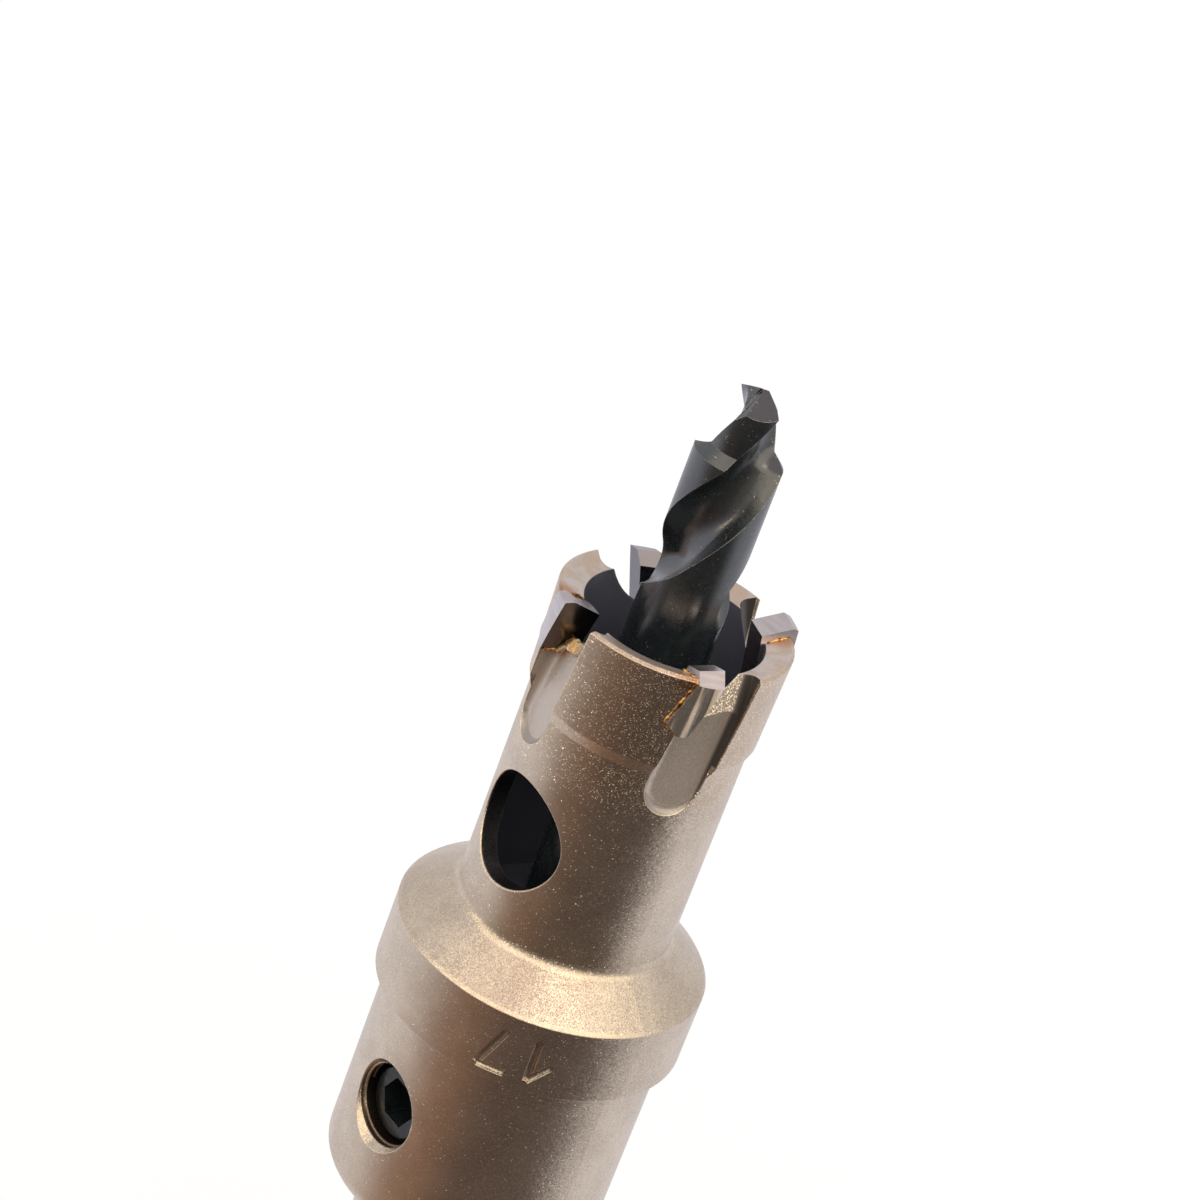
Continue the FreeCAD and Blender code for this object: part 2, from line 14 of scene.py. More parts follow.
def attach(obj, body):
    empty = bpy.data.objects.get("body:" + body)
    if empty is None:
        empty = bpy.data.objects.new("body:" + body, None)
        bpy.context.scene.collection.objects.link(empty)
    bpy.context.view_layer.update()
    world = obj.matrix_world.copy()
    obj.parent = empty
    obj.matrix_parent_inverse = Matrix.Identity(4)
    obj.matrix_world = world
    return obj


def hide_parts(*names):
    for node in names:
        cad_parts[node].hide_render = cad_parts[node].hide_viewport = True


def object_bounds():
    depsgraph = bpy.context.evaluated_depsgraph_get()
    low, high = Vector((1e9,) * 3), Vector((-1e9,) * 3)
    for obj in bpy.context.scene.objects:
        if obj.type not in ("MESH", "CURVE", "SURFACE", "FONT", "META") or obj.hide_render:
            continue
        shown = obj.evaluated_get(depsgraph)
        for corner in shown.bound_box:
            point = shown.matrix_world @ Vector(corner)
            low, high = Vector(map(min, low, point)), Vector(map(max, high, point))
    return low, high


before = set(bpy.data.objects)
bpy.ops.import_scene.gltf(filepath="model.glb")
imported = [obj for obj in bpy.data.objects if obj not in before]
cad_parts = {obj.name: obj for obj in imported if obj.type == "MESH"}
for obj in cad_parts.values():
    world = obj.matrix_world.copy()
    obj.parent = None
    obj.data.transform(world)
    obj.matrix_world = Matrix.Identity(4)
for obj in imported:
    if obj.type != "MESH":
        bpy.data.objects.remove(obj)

# Dresses a carbide-tipped hole saw. The solids come from model.glb in metres, with
# +Z towards the teeth, the origin on the axis at the lower body's underside, and the
# window and the set screw on the -Y side. Sizes below are in millimetres.

CAD_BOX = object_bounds()
MM = 0.001
ROOT_BODY = "root"
WHITE = (1.0, 1.0, 1.0)
MIDDLE = (0.5, 0.5, 0.5)
LOG = logging.getLogger("hole_saw")

Socket = bpy.types.NodeSocket
Number = Socket | float
Triple = Socket | Vector | tuple[float, ...]
Colour = tuple[float, float, float]
FlatPoint = tuple[float, float]
Path = list[Vector]


class Slot(Enum):
    """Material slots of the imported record."""

    BODY = "cutter_body"
    CARBIDE = "carbide"
    DRILL = "pilot_drill"
    SCREW = "set_screw"


class Axis(Enum):
    """Names of a vector's parts, as the nodes spell them."""

    Y = "Y"
    Z = "Z"


def polar(radius: float, azimuth: float, height: float = 0.0) -> Vector:
    """Point at a radius, an azimuth in degrees and a height."""
    angle = math.radians(azimuth)
    return Vector((radius * math.cos(angle), radius * math.sin(angle), height))


def level_axes(azimuth: float) -> tuple[Vector, Vector]:
    """Level unit vectors outwards and anticlockwise at an azimuth in degrees."""
    outward = polar(1.0, azimuth)
    return outward, Vector((-outward.y, outward.x, 0.0))


def opaque(colour: Triple) -> Triple:
    """Gives a plain colour the fourth value that a node's colour has."""
    return colour if isinstance(colour, Socket) else (*colour, 1.0)


def add_object(name: str, data: bpy.types.ID) -> bpy.types.Object:
    """Puts an object into the scene, at the origin.

    Args:
        name: The object's name.
        data: Its mesh, camera or light.

    Returns:
        The new object.
    """
    made = bpy.data.objects.new(name, data)
    bpy.context.scene.collection.objects.link(made)
    return made


class NodeTree:
    """Short-hand for building a node tree."""

    def __init__(self, tree: bpy.types.NodeTree) -> None:
        """Takes the tree that the nodes go into."""
        self.tree = tree

    def add(self, kind: str, inputs: dict | None = None, **settings) -> bpy.types.Node:
        """Adds one node.

        Args:
            kind: The node's type name.
            inputs: Values or sockets for its inputs, by name or number.
            **settings: The node's own properties.

        Returns:
            The new node.
        """
        node = self.tree.nodes.new(kind)
        for name, value in settings.items():
            setattr(node, name, value)
        for name, value in (inputs or {}).items():
            if isinstance(value, Socket):
                self.tree.links.new(value, node.inputs[name])
            else:
                node.inputs[name].default_value = value
        return node


class Shader(NodeTree):
    """Tree of a material or the world, which counts in millimetres."""

    def __init__(self, owner: bpy.types.Material | bpy.types.World) -> None:
        """Starts from an empty tree.

        Args:
            owner: The material or world that the tree belongs to.
        """
        owner.use_nodes = True
        super().__init__(owner.node_tree)
        self.tree.nodes.clear()

    @cached_property
    def place(self) -> Socket:
        """The point's place in the tool's own frame."""
        return self.scaled(self.add("ShaderNodeTexCoord").outputs["Object"], 1.0 / MM)

    @cached_property
    def normal(self) -> Socket:
        """The surface's direction before any relief."""
        return self.add("ShaderNodeNewGeometry").outputs["Normal"]

    @cached_property
    def height(self) -> Socket:
        """Height above the origin."""
        return self.part(self.place, Axis.Z)

    @cached_property
    def level(self) -> Socket:
        """The place without its height."""
        return self.stretched(1.0, 1.0, 0.0)

    @cached_property
    def radius(self) -> Socket:
        """Distance from the axis."""
        return self.length(self.level)

    def part(self, vector: Socket, axis: Axis) -> Socket:
        """One part of a vector."""
        return self.add("ShaderNodeSeparateXYZ", {0: vector}).outputs[axis.value]

    def reckon(self, operation: str, *values: Number) -> Socket:
        """Does arithmetic from the first value to the last.

        Args:
            operation: The Math node's operation.
            *values: Two or more numbers or sockets.

        Returns:
            The result.
        """
        result = values[0]
        for value in values[1:]:
            result = self.add("ShaderNodeMath", {0: result, 1: value}, operation=operation).outputs[0]
        return result

    def product(self, *values: Number) -> Socket:
        """Multiplies some values."""
        return self.reckon("MULTIPLY", *values)

    def most(self, *values: Number) -> Socket:
        """The greatest of some values."""
        return self.reckon("MAXIMUM", *values)

    def vector(self, operation: str, first: Triple, second: Triple = (0.0, 0.0, 0.0)) -> bpy.types.Node:
        """One step of vector arithmetic, as a node."""
        return self.add("ShaderNodeVectorMath", {0: first, 1: second}, operation=operation)

    def dot(self, first: Triple, second: Triple) -> Socket:
        """How far the first vector reaches along the second."""
        return self.vector("DOT_PRODUCT", first, second).outputs["Value"]

    def length(self, vector: Socket) -> Socket:
        """Length of a vector."""
        return self.vector("LENGTH", vector).outputs["Value"]

    def unit(self, vector: Socket) -> Socket:
        """A vector's direction."""
        return self.vector("NORMALIZE", vector).outputs[0]

    def scaled(self, vector: Triple, factor: Number) -> Socket:
        """A vector times a number."""
        return self.add("ShaderNodeVectorMath", {0: vector, "Scale": factor}, operation="SCALE").outputs[0]

    def stretched(self, *factors: float) -> Socket:
        """The place with each part times a number of its own."""
        return self.vector("MULTIPLY", self.place, factors).outputs[0]

    def span(self, value: Socket, start: float, end: float, low: float = 0.0, high: float = 1.0) -> Socket:
        """Maps a value smoothly from one range to another, and stops at its ends."""
        inputs = {"Value": value, "From Min": start, "From Max": end, "To Min": low, "To Max": high}
        return self.add("ShaderNodeMapRange", inputs, interpolation_type="SMOOTHSTEP").outputs["Result"]

    def between(self, share: Socket, first: float, last: float) -> Socket:
        """Number that goes from the first where a share is nought to the last where it is one."""
        return self.span(share, 0.0, 1.0, first, last)

    def noise(self, size: float, detail: float = 3.0, vector: Socket | None = None) -> Socket:
        """Soft noise with features of about a size, on the place or another vector."""
        inputs = {"Vector": vector or self.place, "Scale": 1.0 / size, "Detail": detail}
        return self.add("ShaderNodeTexNoise", inputs).outputs["Fac"]

    def cells(self, size: float) -> tuple[Socket, bpy.types.NodeOutputs]:
        """Random cells of about a size: their colour, and its parts by name."""
        cell = self.add("ShaderNodeTexVoronoi", {"Vector": self.place, "Scale": 1.0 / size}).outputs["Color"]
        return cell, self.add("ShaderNodeSeparateColor", {0: cell}).outputs

    def blend(self, share: Socket, first: Triple, second: Triple) -> Socket:
        """Mixes two colours by the share of the second."""
        inputs = {0: share, 6: opaque(first), 7: opaque(second)}
        return self.add("ShaderNodeMix", inputs, data_type="RGBA").outputs[2]

    def layered(self, base: Triple, layers: list[tuple[Socket, Triple]]) -> Socket:
        """Lays colours over each other.

        Args:
            base: The lowest colour.
            layers: For each further colour, the share that it covers and the colour.

        Returns:
            The colour on top.
        """
        for share, colour in layers:
            base = self.blend(share, base, colour)
        return base

    def bump(self, height: Socket, strength: Number, depth: float, normal: Socket) -> Socket:
        """Relief of a depth on top of a normal."""
        inputs = {"Height": height, "Strength": strength, "Distance": depth * MM, "Normal": normal}
        return self.add("ShaderNodeBump", inputs).outputs["Normal"]

    def flakes(self, colour: Socket, tilt: Socket, normal: Socket) -> Socket:
        """Tilts the normal of each randomly coloured cell its own way, as facets of a grain."""
        lean = self.scaled(self.vector("SUBTRACT", colour, MIDDLE).outputs[0], self.product(tilt, 2.0))
        return self.unit(self.vector("ADD", normal, lean).outputs[0])

    def edges(self, width: float, start: float, end: float) -> tuple[Socket, Socket]:
        """The normal rounded over a width, and a share that grows with its turn from start to end."""
        rounded = self.add("ShaderNodeBevel", {"Radius": width * MM}, samples=6).outputs[0]
        return rounded, self.span(self.dot(rounded, self.normal), 1.0 - start, 1.0 - end)

    def stroke(self, point: Socket, start: FlatPoint, end: FlatPoint) -> Socket:
        """Distance from a flat point to a straight stroke.

        Args:
            point: The flat point.
            start: One end of the stroke.
            end: Its other end.

        Returns:
            The distance.
        """
        along = Vector((end[0] - start[0], end[1] - start[1], 0.0))
        offset = self.vector("SUBTRACT", point, (*start, 0.0)).outputs[0]
        share = self.dot(offset, along / along.length_squared)
        clamped = self.add("ShaderNodeClamp", {"Value": share}).outputs[0]
        return self.length(self.vector("SUBTRACT", offset, self.scaled(along, clamped)).outputs[0])

    def by_ray(self, seen: bpy.types.Node, mirrored: bpy.types.Node) -> Socket:
        """Shows one shader to the camera and another to every other ray.

        Args:
            seen: What the camera sees.
            mirrored: What lights the tool and is mirrored in it.

        Returns:
            The mixed shader.
        """
        path = self.add("ShaderNodeLightPath").outputs
        direct = self.most(path["Is Camera Ray"], path["Is Transmission Ray"])
        shaders = {0: direct, 1: mirrored.outputs[0], 2: seen.outputs[0]}
        return self.add("ShaderNodeMixShader", shaders).outputs[0]


@dataclass(frozen=True)
class Finish:
    """Procedural material of one kind of surface."""

    name: str

    def paint(self, shader: Shader) -> dict[str, Number]:
        """Lays out the surface in the material's empty tree and gives the principled shader's inputs."""
        raise NotImplementedError

    def build(self) -> bpy.types.Material:
        """Builds the material.

        Returns:
            The finished material.
        """
        material = bpy.data.materials.new(self.name)
        shader = Shader(material)
        surface = shader.add("ShaderNodeBsdfPrincipled", self.paint(shader))
        shader.add("ShaderNodeOutputMaterial", {"Surface": surface.outputs[0]})
        return material


@dataclass(frozen=True)
class SizeMark:
    """Plain size number engraved in the collar, read with the shank upwards."""

    azimuth: float = -44.0
    height: float = 18.6
    radius: float = 11.0
    cap_height: float = 3.1
    advance: float = 2.9
    groove: float = 0.27
    steps: int = 16
    one: tuple[FlatPoint, ...] = ((-0.3, 0.55), (0.1, 1.0), (0.1, 0.0))
    seven: tuple[FlatPoint, ...] = ((-0.32, 1.0), (0.32, 1.0), (-0.08, 0.0))

    @property
    def foot(self) -> float:
        """Height of the digits' feet, which look up towards the teeth."""
        return self.height + self.cap_height / 2.0

    def strokes(self) -> list[tuple[FlatPoint, FlatPoint]]:
        """Finds the straight strokes on the unrolled collar.

        Returns:
            Both ends of each stroke.
        """
        found = []
        for index, digit in enumerate((self.one, self.seven)):
            shift = (index - 0.5) * self.advance
            corners = [(x * self.cap_height + shift, y * self.cap_height) for x, y in digit]
            found += list(zip(corners, corners[1:]))
        return found

    def path(self, start: FlatPoint, end: FlatPoint) -> Path:
        """Lays a stroke round the collar.

        Args:
            start: One end on the unrolled collar.
            end: The other end.

        Returns:
            Points along the stroke.
        """
        points = []
        for step in range(self.steps + 1):
            across, up = (a + (b - a) * step / self.steps for a, b in zip(start, end))
            azimuth = self.azimuth - math.degrees(across / self.radius)
            points.append(polar(self.radius, azimuth, self.foot - up))
        return points

    def share(self, shader: Shader) -> Socket:
        """Finds the bottom of the engraved strokes.

        Args:
            shader: The material's tree.

        Returns:
            One in the strokes and nought beside them.
        """
        outward, sideways = level_axes(self.azimuth)
        side, front = (shader.dot(shader.place, axis) for axis in (sideways, outward))
        across = shader.product(shader.reckon("ARCTAN2", side, front), -self.radius)
        up = shader.reckon("SUBTRACT", self.foot, shader.height)
        point = shader.add("ShaderNodeCombineXYZ", {0: across, 1: up}).outputs[0]
        gaps = [shader.stroke(point, start, end) for start, end in self.strokes()]
        return shader.span(shader.reckon("MINIMUM", *gaps), self.groove, self.groove * 0.6)


@dataclass(frozen=True)
class SideHole:
    """Hole that runs in from the -Y side, with painted shade on its walls."""

    height: float
    radius: float
    mouth: float
    colour: Colour

    def share(self, shader: Shader) -> Socket:
        """Finds the hole's walls behind its mouth.

        Args:
            shader: The material's tree.

        Returns:
            One on the walls and nought elsewhere.
        """
        offset = shader.vector("SUBTRACT", shader.stretched(1.0, 0.0, 1.0), (0.0, 0.0, self.height))
        inside = shader.span(shader.length(offset.outputs[0]), self.radius + 0.06, self.radius + 0.02)
        deep = shader.span(shader.radius, self.mouth, self.mouth - 0.2)
        return shader.product(inside, deep, shader.span(shader.part(shader.place, Axis.Y), -1.0, -2.0))


@dataclass(frozen=True)
class BlastedNickel(Finish):
    """Bead-blasted, nickel-plated steel with a warm sparkle, whose glints are partly painted as bright
    cells.
    """

    name: str = "blasted_nickel"
    dark: Colour = (0.50, 0.41, 0.315)
    light: Colour = (0.76, 0.65, 0.51)
    # Brown of the brazing heat tint, also laid over the head as partly painted shade.
    heat: Colour = (0.42, 0.20, 0.075)
    bore: Colour = (0.12, 0.13, 0.175)
    ground: Colour = (0.60, 0.54, 0.51)
    stained: Colour = (0.56, 0.45, 0.36)
    # Painted shade on the lower, deeper end of the gullets' floors.
    painted_gullet_end_shade: Colour = (0.25, 0.23, 0.215)
    milled: Colour = (0.56, 0.505, 0.46)
    # Painted shade for the gullets' side walls and the engraved strokes.
    side_wall: Colour = (0.10, 0.09, 0.08)
    painted_glint: Colour = (0.98, 0.84, 0.62)
    grain_size: float = 0.065
    patch_size: float = 2.6
    stain_size: float = 1.1
    dent_size: float = 0.20
    dent_depth: float = 0.02
    dent_strength: float = 0.12
    grain_tilt: float = 0.09
    spark_tilt: float = 0.30
    calm_tilt: float = 0.3
    calm_shine: float = 0.06
    spark_share: float = 0.06
    head_spark_share: float = 0.16
    throat_spark_share: float = 0.42
    head_start: float = 39.0
    head_heat_and_shade: float = 0.14
    throat_start: float = 42.0
    mark_painted_shade: float = 0.3
    milled_tint: float = 0.75
    milled_metal: float = 0.6
    milled_sparks: float = 0.12
    roughness: float = 0.34
    spark_shine: float = 0.75
    edge_width: float = 0.11
    edge_highlight_shares: tuple[float, float] = (0.6, 0.25)
    bore_radius: float = 6.29
    bore_floor: float = 23.0
    rim_height: float = 47.38
    skins: tuple[tuple[float, float], ...] = ((7.51, 36.4), (7.84, 41.0))
    heat_spots: tuple[Vector, ...] = ()
    heat_core: float = 0.3
    heat_reach: float = 1.7
    heat_ragged: float = 0.9
    mark: SizeMark = SizeMark()
    shaded_holes: tuple[SideHole, ...] = (
        SideHole(31.37, 4.0, 7.52, (0.19, 0.18, 0.19)),
        SideHole(8.45, 3.0, 9.5, (0.20, 0.15, 0.115)),
    )

    def paint(self, shader: Shader) -> dict[str, Number]:
        """Lays out the blasted skin and the worked places in it.

        Args:
            shader: The material's tree.

        Returns:
            The principled shader's inputs.
        """
        rounded, edge = shader.edges(self.edge_width, 0.02, 0.10)
        cell, chance = shader.cells(self.grain_size)
        rim = self.rim_share(shader)
        bore = self.bore_share(shader)
        milled = self.milled_share(shader)
        floor = shader.product(milled, shader.span(shader.part(shader.normal, Axis.Z), 0.2, 0.3))
        high = shader.span(shader.height, self.throat_start, self.throat_start + 0.5, 0.05)
        wall = shader.product(milled, self.painted_wall_shade_share(shader))
        calm = shader.most(rim, bore, wall)
        picked = self.spark_pick(shader, chance["Blue"], milled, shader.product(floor, high))
        painted_glint = shader.product(picked, shader.between(calm, 1.0, 0.0))
        patches = shader.span(shader.noise(self.patch_size), 0.3, 0.7, -0.15, 0.15)
        head = shader.span(shader.height, self.head_start - 2.0, self.head_start)
        stain = shader.span(shader.noise(self.stain_size), 0.42, 0.62)
        colour = shader.layered(self.dark, [
            (shader.reckon("ADD", patches, shader.between(chance["Red"], 0.15, 0.85)), self.light),
            # Darker, browner head: partly heat tint, partly painted shade.
            (shader.product(head, self.head_heat_and_shade), self.heat),
            (shader.product(milled, self.milled_tint), self.milled),
            # Painted glints: bright colour on the picked grain cells.
            (shader.product(painted_glint, shader.between(chance["Green"], 0.25, 0.9)), self.painted_glint),
            # Painted shade on the gullet floors below the throats.
            (shader.product(floor, shader.span(high, 0.05, 1.0, 0.6, 0.0)), self.painted_gullet_end_shade),
            (rim, shader.blend(stain, self.ground, self.stained)),
            (self.heat_share(shader), self.heat),
            # Painted shade on the gullets' far side walls.
            (wall, self.side_wall),
            # Painted shade in the bottoms of the engraved strokes.
            (shader.product(self.mark.share(shader), self.mark_painted_shade), self.side_wall),
            # Painted shade on the walls of the window and the screw hole.
            *((hole.share(shader), hole.colour) for hole in self.shaded_holes),
            # Painted highlight along the edges, weaker in the milled gullets.
            (shader.product(edge, shader.between(milled, *self.edge_highlight_shares)), self.painted_glint),
            (bore, self.bore),
        ])
        metal = shader.between(milled, 1.0, self.milled_metal)
        rough = shader.between(painted_glint, self.roughness, self.roughness * self.spark_shine)
        tilt = shader.between(painted_glint, self.grain_tilt, self.spark_tilt)
        tilt = shader.product(tilt, shader.between(calm, 1.0, self.calm_tilt))
        dents = shader.bump(shader.noise(self.dent_size), self.dent_strength, self.dent_depth, rounded)
        return {
            "Base Color": colour,
            "Metallic": shader.product(metal, shader.between(bore, 1.0, 0.0)),
            "Roughness": shader.reckon("ADD", rough, shader.between(calm, 0.0, -self.calm_shine)),
            "Normal": shader.flakes(cell, tilt, dents),
        }

    def spark_pick(self, shader: Shader, chance: Socket, milled: Socket, throat: Socket) -> Socket:
        """Picks the cells that glint, by their tilt and by a painted bright colour: few on the body, more on
        the head and in the throats.

        Args:
            shader: The material's tree.
            chance: Each cell's random number.
            milled: Share of the milled gullets.
            throat: Share of their upper floors.

        Returns:
            One on the picked cells.
        """
        head = shader.span(shader.height, self.head_start - 4.0, self.head_start)
        share = shader.between(head, self.spark_share, self.head_spark_share)
        share = shader.product(share, shader.between(milled, 1.0, self.milled_sparks))
        share = shader.most(share, shader.product(throat, self.throat_spark_share))
        return shader.span(shader.reckon("ADD", chance, share), 1.0, 1.06)

    def milled_share(self, shader: Shader) -> Socket:
        """Finds the milled gullets, which lie inside the neck's skin and the head's.

        Args:
            shader: The material's tree.

        Returns:
            One inside the gullets.
        """
        shares = []
        for radius, start in self.skins:
            inside = shader.span(shader.radius, radius + 0.04, radius)
            shares.append(shader.product(inside, shader.span(shader.height, start, start + 0.2)))
        return shader.most(*shares)

    def painted_wall_shade_share(self, shader: Shader) -> Socket:
        """One on the gullets' far side walls, which face the cutting faces and get painted shade."""
        clockwise = shader.unit(shader.vector("CROSS_PRODUCT", (0.0, 0.0, 1.0), shader.place).outputs[0])
        return shader.span(shader.dot(shader.normal, clockwise), -0.55, -0.85)

    def heat_share(self, shader: Shader) -> Socket:
        """Finds where the brazing heat tints the steel brown.

        Args:
            shader: The material's tree.

        Returns:
            The tint's share, which fades away from the spots.
        """
        ragged = shader.add("ShaderNodeTexNoise", {"Vector": shader.place, "Scale": self.heat_ragged})
        moved = shader.vector("ADD", shader.place, ragged.outputs["Color"]).outputs[0]
        shares = []
        for spot in self.heat_spots:
            distance = shader.vector("DISTANCE", moved, spot + Vector(MIDDLE))
            shares.append(shader.span(distance.outputs["Value"], self.heat_core, self.heat_reach, 0.85, 0.0))
        return shader.most(*shares)

    def rim_share(self, shader: Shader) -> Socket:
        """One on the turned rim between the gullets."""
        high = shader.span(shader.height, self.rim_height - 0.05, self.rim_height)
        return shader.product(high, shader.span(shader.part(shader.normal, Axis.Z), 0.86, 0.92))

    def bore_share(self, shader: Shader) -> Socket:
        """One on the walls inside the cup, which are coloured dark."""
        inside = shader.span(shader.radius, self.bore_radius, self.bore_radius - 0.03)
        return shader.product(inside, shader.span(shader.height, self.bore_floor - 0.2, self.bore_floor))


@dataclass(frozen=True)
class GroundCarbide(Finish):
    """Ground tungsten carbide with the fine lines of the wheel."""

    name: str = "ground_carbide"
    dark: Colour = (0.535, 0.485, 0.475)
    light: Colour = (0.62, 0.565, 0.555)
    # Painted shade for the faces that lean downwards, chiefly the cutting faces.
    face: Colour = (0.20, 0.165, 0.15)
    painted_dark_reflection: Colour = (0.48, 0.44, 0.38)
    painted_streak_reflection: Colour = (0.88, 0.76, 0.62)
    # Painted shade for the tip at the back.
    dim: Colour = (0.15, 0.145, 0.165)
    roughness: float = 0.22
    line_size: float = 0.5
    line_stretch: tuple[float, float, float] = (0.25, 0.25, 3.0)
    band_size: float = 0.75
    band_stretch: tuple[float, float, float] = (1.0, 1.0, 0.12)
    band_depth: float = 0.28
    grit_size: float = 0.10
    grit_depth: float = 0.004
    side_radius: float = 8.0
    dull_azimuth: float = -12.6
    dim_azimuth: float = 167.4

    def paint(self, shader: Shader) -> dict[str, Number]:
        """Lays out the ground faces, painted reflection streaks on one tip's outside and painted shade on
        another tip.

        Args:
            shader: The material's tree.

        Returns:
            The principled shader's inputs.
        """
        lines = shader.noise(self.line_size, 1.0, shader.stretched(*self.line_stretch))
        streaks = shader.noise(self.band_size, 1.5, shader.stretched(*self.band_stretch))
        bands = shader.span(streaks, 0.40, 0.54)
        outside = shader.span(shader.radius, self.side_radius, self.side_radius + 0.15)
        facing = shader.span(shader.dot(shader.normal, shader.unit(shader.level)), 0.85, 0.95)
        near = shader.span(shader.dot(shader.place, polar(1.0, self.dull_azimuth)), 2.0, 5.0)
        far = shader.span(shader.dot(shader.place, polar(1.0, self.dim_azimuth)), 4.0, 5.0, 0.0, 0.85)
        dull = shader.product(outside, facing, near)
        painted_light_share = shader.product(dull, shader.between(bands, 0.2, 0.78))
        colour = shader.layered(self.dark, [
            (shader.span(lines, 0.35, 0.65), self.light),
            # Painted shade on the downward-leaning cutting faces.
            (shader.span(shader.part(shader.normal, Axis.Z), -0.15, -0.25), self.face),
            # Painted reflections: dark and light bands on the outside of one tip, less metallic in the light
            # ones.
            (dull, shader.blend(bands, self.painted_dark_reflection, self.painted_streak_reflection)),
            # Painted shade on the tip at the back.
            (far, self.dim),
        ])
        fine = shader.bump(shader.noise(self.grit_size, 2.0), 0.04, self.grit_depth, shader.normal)
        return {
            "Base Color": colour,
            "Metallic": shader.reckon("SUBTRACT", 1.0, painted_light_share),
            "Roughness": shader.span(lines, 0.2, 0.8, self.roughness - 0.04, self.roughness + 0.06),
            "Normal": shader.bump(streaks, dull, self.band_depth, fine),
        }


@dataclass(frozen=True)
class BlackOxide(Finish):
    """Black oxidised steel with a faint green cast, painted glints in specks and painted highlights on the
    edges.
    """

    dark: Colour = (0.008, 0.011, 0.014)
    light: Colour = (0.016, 0.024, 0.025)
    painted_speck_glint: Colour = (0.66, 0.56, 0.38)
    # Colour of the painted highlight on the edges.
    painted_shine: Colour = (0.62, 0.58, 0.56)
    roughness: float = 0.24
    cloud_size: float = 1.6
    glint_patch_size: float = 0.9
    matt_size: float = 0.35
    edge_highlight_size: float = 0.3
    dent_size: float = 0.15
    dent_depth: float = 0.01
    speck_size: float = 0.075
    speck_share: float = 0.05
    speck_heights: tuple[float, float] = (53.0, 59.0)
    edge_width: float = 0.07
    edge_highlight_strength: float = 0.8
    ior: float = 1.92

    def paint(self, shader: Shader) -> dict[str, Number]:
        """Lays out the oxide with its painted glint specks and painted edge highlights.

        Args:
            shader: The material's tree.

        Returns:
            The principled shader's inputs.
        """
        rounded, edge = shader.edges(self.edge_width, 0.03, 0.16)
        cell, chance = shader.cells(self.speck_size)
        upper = shader.span(shader.height, *self.speck_heights, 0.3)
        # Patches on the upper drill where glints are painted.
        painted_shine = shader.product(shader.span(shader.noise(self.glint_patch_size, 1.0), 0.56, 0.68), upper)
        painted_light_share = shader.product(shader.span(chance["Green"], 1.0 - self.speck_share, 1.0), painted_shine)
        ragged = shader.span(shader.noise(self.edge_highlight_size), 0.35, 0.6, 0.15)
        # Painted highlight along the edges, as bright metal.
        painted_edge_highlight = shader.product(edge, ragged, self.edge_highlight_strength)
        colour = shader.layered(self.dark, [
            (shader.span(shader.noise(self.cloud_size), 0.3, 0.75), self.light),
            # Painted glints on gold specks.
            (painted_light_share, self.painted_speck_glint),
            (painted_edge_highlight, self.painted_shine),
        ])
        dents = shader.bump(shader.noise(self.dent_size), 0.05, self.dent_depth, rounded)
        matt = shader.noise(self.matt_size)
        return {
            "Base Color": colour,
            "Metallic": shader.most(painted_light_share, painted_edge_highlight),
            "Roughness": shader.span(matt, 0.2, 0.8, self.roughness - 0.04, self.roughness + 0.08),
            "IOR": self.ior,
            "Normal": shader.flakes(cell, shader.between(painted_shine, 0.012, 0.06), dents),
        }


@dataclass(frozen=True)
class Braze(Finish):
    """Copper-gold brazing metal, partly burnt brown."""

    name: str = "braze"
    burnt: Colour = (0.20, 0.075, 0.025)
    bright: Colour = (0.95, 0.56, 0.20)
    roughness: float = 0.3
    metal: float = 1.0
    dent: float = 0.5
    dent_size: float = 0.12
    dent_depth: float = 0.03
    cloud_size: float = 0.35

    def paint(self, shader: Shader) -> dict[str, Number]:
        """Lays out the braze.

        Args:
            shader: The material's tree.

        Returns:
            The principled shader's inputs.
        """
        clouds = shader.span(shader.noise(self.cloud_size), 0.35, 0.62)
        return {
            "Base Color": shader.blend(clouds, self.burnt, self.bright),
            "Metallic": self.metal,
            "Roughness": self.roughness,
            "Normal": shader.bump(shader.noise(self.dent_size), self.dent, self.dent_depth, shader.normal),
        }


